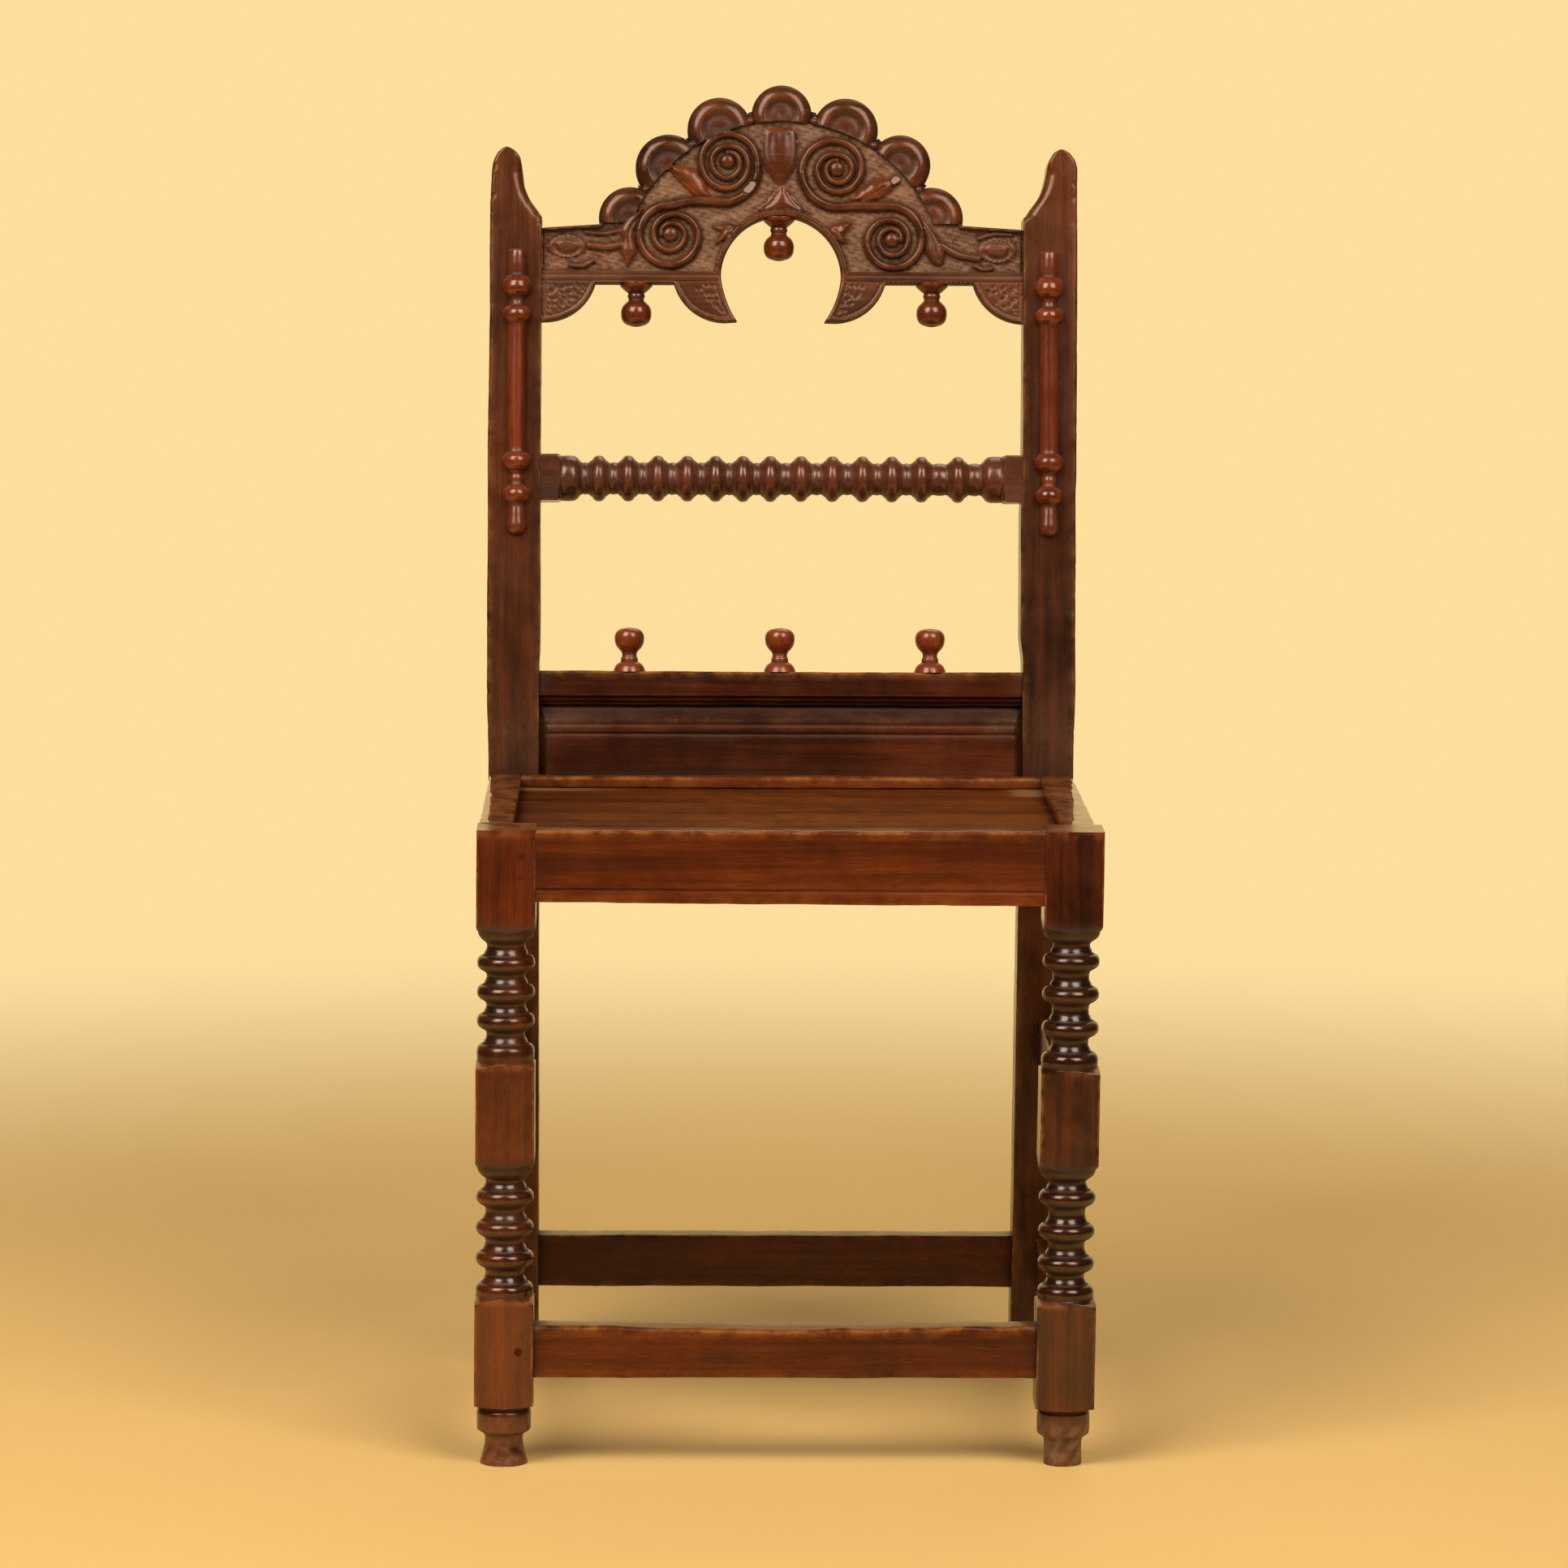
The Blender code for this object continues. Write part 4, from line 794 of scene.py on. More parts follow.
def inside(points, outline):
    """Which points lie inside a closed outline."""
    result = np.zeros(len(points), bool)
    ends = np.roll(outline, -1, axis=0)
    for start, end in zip(outline, ends):
        if start[1] == end[1]:
            continue
        crosses = (points[:, 1] < start[1]) != (points[:, 1] < end[1])
        slope = (end[0] - start[0]) / (end[1] - start[1])
        result ^= crosses & (points[:, 0] < start[0] + (points[:, 1] - start[1]) * slope)
    return result


def plate_grid(outline, spacing):
    """The outline's points followed by grid points inside it, with their distance from the edge."""
    low = outline.min(axis=0)
    high = outline.max(axis=0)
    across = np.arange(low[0] + spacing / 2, high[0], spacing)
    up = np.arange(low[1] + spacing / 2, high[1], spacing)
    grid = np.stack(np.meshgrid(across, up), axis=-1).reshape(-1, 2)
    grid = grid[inside(grid, outline)]
    edge = path_distance(grid, outline)[0]
    keep = edge > spacing * 0.5
    points = np.vstack((outline, grid[keep]))
    return points, np.concatenate((np.zeros(len(outline)), edge[keep]))


def fill(points, rim):
    """Triangles that fill a closed rim, through the other points."""
    edges = [(index, (index + 1) % rim) for index in range(rim)]
    flat = [Vector(point) for point in points.tolist()]
    result = geometry.delaunay_2d_cdt(flat, edges, [list(range(rim))], 1, 1e-6)
    places, _, faces, origins = result[0], result[1], result[2], result[3]
    names = [group[0] for group in origins]
    return [[names[corner] for corner in face] for face in faces]


def plate(outline, spacing, back_spacing, relief, thickness, wall_dirt=0.0):
    """A plate whose front is shaped by a relief, with straight sides and a plain back.

    Returns points of across, up and depth behind the front plane, its faces, the relief's marks and how many
    of the points, the first ones, are of the front.
    """
    front, edge = plate_grid(outline, spacing)
    depth, marks = relief(front, edge)
    rim = len(outline)
    back, back_edge = plate_grid(outline, back_spacing)
    walls = 5
    layers = [np.column_stack((front, depth))]
    for step in range(1, walls):
        share = step / walls
        layers.append(np.column_stack((outline, depth[:rim] * (1 - share) + thickness * share)))
    layers.append(np.column_stack((back, np.full(len(back), thickness) - 0.8 * np.exp(-back_edge / 0.6))))
    starts = np.concatenate(([0], np.cumsum([len(layer) for layer in layers])))
    faces = fill(front, rim)
    for upper, lower in zip(starts[:-2], starts[1:-1]):
        for index in range(rim):
            ahead = (index + 1) % rim
            faces.append([upper + index, lower + index, lower + ahead, upper + ahead])
    faces += [[starts[-2] + corner for corner in reversed(face)] for face in fill(back, rim)]
    points = np.vstack(layers)
    full = {}
    for mark, values in marks.items():
        rest = np.zeros(len(points) - len(front))
        if mark == "dirt":
            rest[:rim * (walls - 1)] = wall_dirt
        full[mark] = np.concatenate((values, rest))
    return points, faces, full, len(front)


def face_out(points, faces):
    """Turns all faces over if the closed shape is inside out."""
    volume = 0.0
    for face in faces:
        first = points[face[0]]
        for second, third in zip(face[1:-1], face[2:]):
            volume += first @ np.cross(points[second], points[third])
    if volume < 0:
        return [face[::-1] for face in faces]
    return faces


def make_seat_panel():
    rear = SEAT_DEPTH + 11.5
    side = HALF_WIDTH - 27.0 + TONGUE - 0.3
    leg_side = LEG_INNER - 0.3
    face = post_front(SEAT_TOP) - 0.3
    strip = node_box("seat_back_fillet")[0][1]
    half = [(leg_side, 27.0 - TONGUE + 0.3), (leg_side, LEG + 0.3), (side, LEG + 0.3), (side, face)]
    half += [(POST_INNER - 0.3, face), (POST_INNER - 0.3, rear)]
    outline = subdivide(half + [(-across, depth) for across, depth in reversed(half)], 4.0)

    def relief(points, edge):
        across, back = points.T
        flat = np.column_stack((points, np.zeros(len(points))))
        dish = 0.9 * np.exp(-((across / 150.0) ** 2 + ((back - 190.0) / 110.0) ** 2))
        depth = dish + 0.18 * ripple(flat, 80.0, 5) + 0.25
        # Painted shadow of the rails' lips along the shown edges of the board.
        shown = np.minimum(HALF_WIDTH - 27.0 - np.abs(across), back - 27.0)
        shown = np.minimum(shown, strip - back)
        dirt = np.exp(-np.clip(shown, 0.0, None) / 7.0)
        worn = 0.4 * np.exp(-((across / 170.0) ** 2 + ((back - 150.0) / 120.0) ** 2))
        patch = np.exp(-((across - 199.0) / 14.0) ** 4 - ((back - strip + 22.0) / 26.0) ** 4)
        line = 0.8 * np.exp(-((back - strip + 9.0) / 10.0) ** 4) * smoothstep(-110.0, -180.0, across)
        dust = np.maximum(patch, line)
        tone = 0.02 + 0.24 * smoothstep(-190.0, -40.0, across) + 0.34 * smoothstep(20.0, 190.0, across)
        return depth, {"dirt": dirt * 0.8 * (1 - dust), "wear": worn, "dust": dust, "tone": tone}

    points, faces, marks, _ = plate(outline, 2.6, 16.0, relief, SEAT_TOP - SEAT_BOTTOM - 0.3)
    place = np.column_stack((points[:, 0], points[:, 1], SEAT_TOP - points[:, 2]))
    add_piece("seat_panel_board", place, face_out(place, faces), marks, ["seat_panel"], "seat_oak", ACROSS)


# Low back: moulded rail and fielded panel

PANEL_FACE = 14.0
PANEL_BACK = 23.0
BEVEL_TOP = 50.2
BEVEL_FOOT = 35.6
BEAD_FOOT = 27.0


def lower_rail_tone(points):
    """The moulded lower edge of the rail is darker: painted shade under the rail."""
    return -0.42 - 0.5 * smoothstep(LOWER_RAIL_FACE + 1.0, LOWER_RAIL_FACE, points[:, 2])


def make_lower_back():
    near = BACK_FACE
    far = BACK_FACE + BACK_THICKNESS
    corners = [
        (near + 6.2, LOWER_RAIL_BOTTOM, 0.5, 0.2),
        (far, LOWER_RAIL_BOTTOM, 1.2, 0.5),
        (far, LOWER_RAIL_TOP, 1.6, 0.7),
        (near, LOWER_RAIL_TOP, 2.8, 1.0),
        (near, LOWER_RAIL_FACE + 0.6, 0.7, 0.2),
        (near + 3.0, LOWER_RAIL_FACE - 0.6, 0.5, 0.0),
        (near + 3.2, LOWER_RAIL_FACE - 3.2, 0.8, 0.0),
        (near + 5.2, LOWER_RAIL_FACE - 4.6, 0.8, 0.0),
    ]
    reach = POST_INNER + HOUSED
    timber("lower_back_rail_moulded", corners, -reach, reach, run_across, ["lower_back_rail"], "rail_oak", ACROSS,
           lean=leaning, tone=lower_rail_tone)
    side = POST_INNER + 0.2
    bottom = -23.0
    top = LOWER_RAIL_BOTTOM + 1.0
    outline = subdivide([(-side, bottom), (side, bottom), (side, top), (-side, top)], 3.0)

    def relief(points, edge):
        across, up = points.T
        ends = np.minimum(side - np.abs(across), 60.0)
        bevel = np.clip((BEVEL_TOP - up) / (BEVEL_TOP - BEVEL_FOOT), 0.0, 1.0)
        end_bevel = np.clip(ends / 7.0, 0.0, 1.0)
        raised = 3.2 * np.minimum(bevel, end_bevel)
        bead = np.exp(-((up - (BEVEL_FOOT + BEAD_FOOT) / 2) / 3.4) ** 4) * smoothstep(5.0, 8.0, ends)
        line = np.exp(-((up - BEVEL_FOOT) / 0.8) ** 2) + np.exp(-((up - BEAD_FOOT) / 0.9) ** 2)
        raised += 0.8 * bead - 1.0 * line * smoothstep(4.0, 7.0, ends)
        flat = np.column_stack((points, np.zeros(len(points))))
        raised += 0.15 * ripple(flat, 60.0, 8)
        # Darker at the ends of the panel, in its cut lines and in a band low down; the band at the top is painted
        # shadow under the rail.
        dirt = 0.85 * np.exp(-np.clip(ends, 0, None) / 3.0) + 0.6 * line
        dirt += 0.9 * smoothstep(BEVEL_TOP - 4.0, BEVEL_TOP, up) + 0.7 * np.exp(-np.abs(up + 9.0) / 4.0)
        slope = smoothstep(BEVEL_FOOT, BEVEL_FOOT + 2.0, up) * (1 - smoothstep(BEVEL_TOP - 5.0, BEVEL_TOP, up))
        patchy = np.clip(0.5 + 0.5 * ripple(flat, 50.0, 9), 0.0, 1.0)
        rub = np.exp(-((up - BEVEL_FOOT - 2.5) / 1.6) ** 2) * patchy
        wear = 0.12 * np.exp(-((up - (BEVEL_FOOT + BEAD_FOOT) / 2) / 1.2) ** 2) + 0.35 * rub
        corner = np.exp(-((ends - 26.0) / 26.0) ** 2 - ((up - BEVEL_FOOT + 1.0) / 9.0) ** 2) * patchy
        dust = 0.35 * corner
        # The sloping bevel is painted darker, as painted shade against the light it catches.
        tone = -0.55 + 0.35 * smoothstep(40.0, 150.0, across) * (1 - slope) - 0.42 * slope
        return -raised, {"dirt": dirt, "wear": wear, "dust": dust, "tone": tone}

    points, faces, marks, _ = plate(outline, 1.6, 14.0, relief, PANEL_BACK - PANEL_FACE)
    local = np.column_stack((points[:, 0], PANEL_FACE + points[:, 2], points[:, 1]))
    place = leaning(local)
    add_piece("lower_back_panel_fielded", place, face_out(place, faces), marks, ["lower_back_panel"], "rail_oak",
              ACROSS)


# Ring-turned rail of the back

RAIL_RING_RADIUS = 19.0
RAIL_REEL_RADIUS = 12.5
RAIL_BLOCK_HALF = 19.0
RAIL_RINGS = (-148.7, -124.8, -100.8, -76.8, -53.8, -31.5, -9.1, 15.8, 41.4, 65.9, 89.9, 113.9, 143.6)

# Half of one ring, from its middle out: run and how far it falls from the crown
RAIL_RING_SHAPE = ((0.0, 0.0), (1.8, 0.25), (3.5, 1.2), (4.9, 2.7), (5.9, 4.3), (6.5, 4.3), (9.0, 6.5))


def rail_ring(middle):
    stops = [(middle - run, RAIL_RING_RADIUS - fall) for run, fall in reversed(RAIL_RING_SHAPE)]
    return stops + [(middle + run, RAIL_RING_RADIUS - fall) for run, fall in RAIL_RING_SHAPE[1:]]


def rail_bead(start, end):
    """The shallow bead between two rings."""
    middle = (start + end) / 2
    half = (end - start) / 2
    rises = ((-0.8, 0.1), (-0.5, 0.7), (0.0, 1.0), (0.5, 0.7), (0.8, 0.1))
    return [(middle + half * share, RAIL_REEL_RADIUS + rise) for share, rise in rises]


def ring_rail_profile():
    wide = RAIL_BLOCK_HALF * 2
    collar = (
        (-HOUSED, wide), (12.5, wide), (14.6, RAIL_BLOCK_HALF * 1.41), (16.4, RAIL_BLOCK_HALF * 1.02),
        (17.6, RAIL_RING_RADIUS - 0.9), (18.6, RAIL_RING_RADIUS - 0.1), (24.0, RAIL_RING_RADIUS + 0.1),
        (28.0, RAIL_RING_RADIUS - 0.5), (30.6, RAIL_RING_RADIUS - 2.2), (32.8, RAIL_RING_RADIUS - 5.0),
        (34.4, RAIL_REEL_RADIUS),
    )
    stops = [(run - POST_INNER, radius) for run, radius in collar]
    for middle in RAIL_RINGS:
        ring = rail_ring(middle)
        stops += rail_bead(stops[-1][0], ring[0][0]) + ring
    far = [(POST_INNER - run, radius) for run, radius in reversed(collar)]
    return stops + rail_bead(stops[-1][0], far[0][0]) + far


def make_ring_rail():
    angles = around(56, True)
    runs, radii = profile_curve(ring_rail_profile(), 0.25, 0.3)
    stations, reach = choose_stations(runs, radii, RAIL_BLOCK_HALF * 1.42, 420)
    points, wear = turned(stations, reach, angles, RAIL_BLOCK_HALF, 90, wobble=0.16)
    crowns, dirt = lathe_marks(runs, radii, stations, RAIL_BLOCK_HALF)
    wear = np.maximum(wear * 0.8, 0.4 * crowns.repeat(len(angles)))
    local = np.column_stack((points[:, 2], points[:, 0] + POST / 2, points[:, 1] + RING_RAIL_RISE))
    marks = {"wear": wear, "dirt": dirt.repeat(len(angles)), "dust": 0.13, "tone": -0.6}
    add_piece("ring_turned_rail_fine", leaning(local), loft_faces(len(stations), len(angles)), marks,
              ["ring_turned_rail"], "turned_oak", ACROSS)


# Knobs: pendants under the crest and finials on the low rail

PENDANT_PROFILE = (
    (0.0, 13.6), (1.2, 13.8), (2.4, 13.2), (3.8, 12.0), (5.4, 10.2), (7.0, 8.4), (7.9, 6.4), (8.5, 6.3), (9.2, 6.9),
    (10.6, 7.2), (12.0, 6.8), (12.8, 6.0), (13.7, 6.1), (14.7, 6.9), (16.1, 8.6), (18.1, 10.6), (20.5, 11.9),
    (23.3, 12.5), (26.3, 12.4), (29.3, 11.8), (31.9, 10.4), (33.8, 8.0), (34.8, 5.0), (35.2, 2.2), (35.3, 0.3),
)
FINIAL_PROFILE = (
    (0.0, 13.2), (1.5, 12.8), (3.2, 12.2), (4.8, 11.4), (6.2, 10.3), (7.4, 8.8), (8.2, 7.1), (8.8, 6.6), (9.6, 6.9),
    (10.6, 7.0), (11.6, 6.8), (12.4, 6.1), (13.2, 5.9), (15.2, 6.0), (16.4, 6.6), (18.0, 8.2), (20.0, 10.0),
    (22.4, 11.3), (25.0, 12.0), (27.6, 12.2), (30.2, 11.9), (32.6, 10.8), (34.4, 8.8), (35.4, 6.4), (35.9, 3.4), (36.0, 0.3),
)
PENDANT_PLACES = {"left": -118.8, "middle": -2.9, "right": 121.9}
FINIAL_PLACES = {"left": -123.4, "middle": -1.0, "right": 121.3}
PENDANT_RISES = {"left": 0.9, "middle": 1.5, "right": 1.7}
ARCH_SEAT = 53.6


def make_knob(name, node, profile, across, foot, hang, seed, tone):
    runs, radii = profile_curve(profile, 0.15, 0.28)
    stations, reach = choose_stations(runs, radii, 30.0, 80)
    angles = around(48, False)
    points, _ = turned(stations, reach, angles, None, seed, wobble=0.07)
    crowns, dirt = lathe_marks(runs, radii, stations, 30.0)
    if hang:
        points[:, 1:] *= -1
    local = points + (across, BACK_FACE + BACK_THICKNESS / 2, foot)
    marks = {"wear": (0.6 * crowns).repeat(len(angles)), "dirt": dirt.repeat(len(angles)), "tone": tone}
    add_piece(name, leaning(local), loft_faces(len(stations), len(angles)), marks, [node], "turned_oak", UP_THE_BACK)


def make_knobs():
    for index, word in enumerate(("left", "middle", "right")):
        node = "crest_pendant_" + word
        foot = CREST_RISE + (ARCH_SEAT if word == "middle" else 0.0)
        rise = foot + PENDANT_RISES[word]
        make_knob(node + "_turned", node, PENDANT_PROFILE, PENDANT_PLACES[word], rise, True, 100 + index, 0.0)
        node = "rail_finial_" + word
        rise = LOWER_RAIL_TOP - 0.4
        make_knob(node + "_turned", node, FINIAL_PROFILE, FINIAL_PLACES[word], rise, False, 110 + index, 0.8)


# Split spindles on the fronts of the posts

SPINDLE_INSET = 22.0
SPINDLE_STOPS = (
    (188.4, 0.6), (188.9, 3.8), (190.6, 6.4), (193.0, 7.6), (196.5, 8.0), (207.0, 7.2), (212.6, 6.6), (214.4, 7.4),
    (216.6, 9.2), (219.0, 10.3), (221.6, 10.6), (224.6, 10.1), (227.0, 8.4), (229.0, 6.6), (230.6, 5.8),
    (232.0, 5.9), (233.8, 6.2), (235.8, 6.0), (237.2, 5.4), (238.6, 5.6), (240.4, 6.8), (242.4, 8.9), (244.8, 10.4),
    (248.2, 11.0), (251.4, 10.6), (253.8, 9.3), (255.6, 7.9), (257.4, 7.6), (310.0, 7.8),
    (358.5, 7.6), (360.6, 7.8), (362.4, 9.0), (364.6, 10.5), (367.8, 11.0), (371.0, 10.4), (373.2, 8.8),
    (375.0, 6.8), (377.2, 6.0), (380.0, 5.9), (381.8, 6.6), (383.4, 8.4), (386.2, 10.3), (390.0, 11.1),
    (394.0, 10.4), (397.0, 9.0), (399.0, 7.6), (400.2, 6.9), (401.4, 7.0), (402.6, 7.4), (408.0, 7.7), (416.0, 7.6),
    (419.4, 7.1), (420.8, 5.6), (421.3, 1.2),
)


def make_spindles():
    runs, radii = profile_curve(SPINDLE_STOPS, 0.2, 0.35)
    radii = radii + 0.3 * np.clip(radii - 7.5, 0.0, None)
    stations, reach = choose_stations(runs, radii, 30.0, 250)
    crowns, creased = lathe_marks(runs, radii, stations, 30.0)
    ends = smoothstep(216.0, 210.0, stations) + smoothstep(400.0, 404.0, stations)
    sweep = np.linspace(math.pi, math.tau, 37)
    flat_back = np.linspace(1.0, -1.0, 9)[1:-1]
    for word, side in SIDES:
        axis = side * (HALF_WIDTH - SPINDLE_INSET) + max(0.0, side * 1.5)
        rings = []
        for run, radius in zip(stations, reach):
            across = np.concatenate((radius * np.cos(sweep), radius * flat_back))
            inward = np.concatenate((radius * np.sin(sweep), np.zeros(len(flat_back))))
            ring = np.column_stack((across + axis, inward + 0.25, np.full(len(across), run)))
            ring[:, 0] += 0.1 * ripple(ring, 50.0, 120 + side)
            rings.append(ring)
        count = len(rings[0])
        # Painted shade on the rounded sides of each half spindle and on its flat back, over the dirt and painted shade
        # of the creases.
        edge = np.concatenate((np.abs(np.cos(sweep)) ** 30, np.ones(len(flat_back))))
        dirt = np.maximum(np.clip(1.5 * creased, 0.0, 1.0).repeat(count), np.tile(edge, len(stations)) * 0.4)
        marks = {"wear": (0.4 * crowns).repeat(count), "dirt": dirt}
        # The right spindle is painted lighter, to make up for the weaker light that falls on it.
        marks["tone"] = (0.46 - 0.2 * ends + 0.12 * side).repeat(count)
        marks["dust"] = (0.08 * ends).repeat(count)
        marks["polish"] = (-2.0 * ends).repeat(count)
        name = "split_spindle_" + word
        add_piece(name + "_turned", leaning(np.concatenate(rings)), loft_faces(len(rings), count), marks, [name],
                  "turned_oak", UP_THE_BACK)


# The carved crest, drawn across and up from its straight lower edge

# Each lobe: degrees from the top, distance of its middle from the centre, and its radius
LOBES = (
    (-66.6, 135.2, 25.4),
    (-44.3, 132.8, 27.0),
    (-22.2, 136.3, 26.1),
    (-0.4, 138.2, 24.4),
    (22.1, 135.6, 26.5),
    (44.4, 136.9, 24.6),
    (65.9, 133.2, 25.4),
)
LOBE_SWEEP = math.radians(83)
VALLEY_RADIUS = 143.0
ROLL = 10.5
FIELD_RADIUS = 132.4
ARCH_RADIUS = 49.5
ARCH_HALVES = {-1: 48.7, 1: 49.2}
ARCH_RISE = 6.1
ARCH_DROP = 53.0
ARCH_SHIFT = -1.3
CLAW_TIP = 35.7
CLAW_FULLNESS = 1.1
CLAW_CENTRES = {-1: 46.6, 1: 42.6}
BRACKET_CENTRES = {-1: 193.6, 1: 197.4}
SCALLOP_RADIUS = 43.2
SCALLOP_RISE = 12.6
EDGE_RISES = {-1: 0.4, 1: 0.9}
SHOULDER_SLOPE = 3.1
GROUND = 5.0
BORDER = 9.4


def arc(centre, radius, start, end, count):
    angles = np.linspace(start, end, count)
    return [(centre[0] + radius * math.cos(angle), centre[1] + radius * math.sin(angle)) for angle in angles]


def crest_side(side):
    """One side of the lower edge, from the top of the arch to the outer end of the shoulder."""
    middle = side * ARCH_SHIFT
    wide = ARCH_HALVES[side]
    half = []
    lowest = -math.acos(CLAW_TIP / wide)
    for angle in np.linspace(math.pi / 2, lowest, 100):
        rise = ARCH_RADIUS if angle > 0 else ARCH_DROP
        fuller = CLAW_FULLNESS * math.sin(math.pi * min(0.0, angle) / lowest) if angle < 0 else 0.0
        half.append((middle + wide * math.cos(angle) - fuller, ARCH_RISE + rise * math.sin(angle)))
    meeting = math.asin((SCALLOP_RISE - EDGE_RISES[side]) / SCALLOP_RADIUS)
    half += arc((CLAW_CENTRES[side], SCALLOP_RISE), SCALLOP_RADIUS, -math.pi / 2, -meeting, 40)
    end = POST_INNER + 0.2
    bracket = BRACKET_CENTRES[side]
    last = min(math.pi * 1.5, math.tau - math.acos((end - bracket) / SCALLOP_RADIUS))
    half += arc((bracket, SCALLOP_RISE), SCALLOP_RADIUS, math.pi + meeting, last, 40)
    if bracket < end:
        half.append((end, SCALLOP_RISE - SCALLOP_RADIUS))
    half.append((end, CREST_SHOULDER))
    return [(side * across, up) for across, up in half]


def crest_outline():
    """From the top of the arch to the right, over the lobes and back along the left side."""
    whole = crest_side(1)
    for index in range(len(LOBES) - 1, -1, -1):
        degrees, circle, radius = LOBES[index]
        outward = math.pi / 2 - math.radians(degrees)
        middle = (circle * math.cos(outward), circle * math.sin(outward))
        shoulder = math.asin(max(-1.0, (CREST_SHOULDER + SHOULDER_SLOPE - middle[1]) / radius))
        start = shoulder if index == len(LOBES) - 1 else outward - LOBE_SWEEP
        finish = math.pi - shoulder if index == 0 else outward + LOBE_SWEEP
        whole += arc(middle, radius, start, finish, 60)
        if index:
            valley = math.pi / 2 - math.radians((degrees + LOBES[index - 1][0]) / 2)
            whole.append((VALLEY_RADIUS * math.cos(valley), VALLEY_RADIUS * math.sin(valley)))
    return subdivide(whole + crest_side(-1)[:0:-1], 1.1)


def lobe_relief(points):
    """Heights of the lobes, each a thick roll round a hollowed half disc, with a nub in each notch.

    Also returns how deep each point lies inside its lobe.
    """
    deep = np.full(len(points), -1e9)
    for degrees, circle, radius in LOBES:
        turn = math.radians(degrees)
        middle = np.array((circle * math.sin(turn), circle * math.cos(turn)))
        deep = np.maximum(deep, radius - np.linalg.norm(points - middle, axis=1))
    outer = np.clip(1 - deep / ROLL, 0.0, 1.0)
    height = -9.0 * (1 - np.sqrt(1 - outer ** 2))
    height -= 1.9 * smoothstep(ROLL - 1.0, ROLL + 4.4, deep)
    height += 0.5 * smoothstep(ROLL + 4.4, ROLL + 9.4, deep)
    height -= 0.6 * smoothstep(ROLL + 9.0, ROLL + 15.0, deep)
    for before, after in zip(LOBES, LOBES[1:]):
        turn = math.radians((before[0] + after[0]) / 2)
        gap = np.linalg.norm(points - 135.4 * np.array((math.sin(turn), math.cos(turn))), axis=1)
        height = np.maximum(height, np.where(gap < 3.6, -4.6 + 3.6 * np.sqrt(np.clip(1 - (gap / 3.6) ** 2, 0, 1)), -9.0))
    return height, deep


# The ornament of each side as its carver cut it, both drawn as if on the left: eyes of the two volutes and
# their radii at each quarter turn from the stem inwards, the link between them, and the leaves round them
SCROLLS = {
    "left": {
        "upper_eye": (-45.0, 99.9),
        "upper": (33.0, 24.0, 22.2, 21.3, 22.3, 16.5, 12.0, 12.8, 13.8, 9.8, 7.0),
        "link": ((-64.0, 67.8), (-78.0, 67.0)),
        "lower_eye": (-91.2, 40.5),
        "lower": (23.5, 25.4, 25.2, 22.6, 15.6, 13.8, 13.4, 11.6, 8.6, 7.4),
        "spray": ((-70.5, 70.5), (-77.0, 76.0), (-84.0, 83.5), (-90.8, 91.0), (-93.4, 97.2)),
        "spray_end": (-59.0, 70.8),
        "spray_swell": -10.5,
        "spray_tone": 0.5,
        "flame": ((-112.0, 63.0), (-122.5, 56.9), (-130.3, 50.3), (-133.6, 42.5), (-130.3, 36.0), (-132.3, 26.8),
                  (-128.4, 20.3), (-125.8, 13.4), (-121.9, 20.3), (-118.0, 26.8), (-119.5, 37.3), (-118.5, 46.4)),
        "flame_vein": ((-117.0, 55.0), (-125.0, 42.0), (-126.0, 18.0)),
        "tendril": ((-131.0, 31.5), (-143.4, 29.6), (-157.0, 31.0)),
        "curl": ((-133.0, 43.0), (-146.0, 40.6), (-160.0, 41.8)),
        "flower": (-175.3, 30.6, 15.8, 9.8),
        "tail": ((-172.0, 14.8), (-162.0, 14.6), (-154.5, 18.4)),
        "spur": ((-37.4, 48.5), (-46.0, 49.4), (-56.2, 46.4), (-51.5, 41.2), (-55.2, 32.6), (-46.0, 35.0), (-39.8, 37.5)),
        "nub": (-93.0, 95.6),
    },
    "right": {
        "upper_eye": (-44.0, 94.2),
        "upper": (31.0, 28.6, 22.5, 20.0, 19.0, 16.0, 11.4, 12.4, 11.5, 8.5, 6.5),
        "link": ((-62.0, 64.0), (-77.0, 63.8)),
        "lower_eye": (-89.0, 36.5),
        "lower": (27.4, 24.2, 22.5, 20.0, 15.9, 13.3, 12.6, 10.6, 9.0, 7.2),
        "spray": ((-66.0, 66.0), (-79.8, 70.0), (-88.6, 76.8), (-93.0, 86.6)),
        "spray_end": (-55.0, 69.0),
        "spray_swell": -6.4,
        "spray_tone": 0.15,
        "flame": ((-106.0, 61.0), (-113.5, 55.0), (-121.0, 46.5), (-128.5, 37.0), (-132.5, 26.0), (-130.0, 16.0),
                  (-122.5, 17.0), (-116.0, 27.0), (-114.5, 40.0)),
        "flame_vein": ((-112.0, 55.0), (-122.0, 38.0), (-127.0, 20.0)),
        "tendril": ((-129.0, 32.0), (-143.3, 24.4), (-159.0, 21.6)),
        "curl": ((-160.0, 38.0), (-172.0, 41.6), (-186.0, 41.0)),
        "flower": (-174.8, 28.6, 16.4, 10.6),
        "tail": ((-170.0, 13.6), (-163.0, 12.8), (-157.0, 15.6)),
        "spur": ((-37.0, 46.8), (-46.0, 50.5), (-56.5, 50.2), (-51.0, 41.0), (-52.4, 33.0), (-44.0, 33.6), (-39.2, 38.0)),
        "nub": (-92.2, 85.4),
    },
}
BUD = ((0.0, 128.5), (-8.5, 128.0), (-13.4, 124.5), (-14.6, 113.0), (-14.0, 98.0), (-9.0, 89.0), (0.0, 80.5))
BUD_SHIFT = -2.2

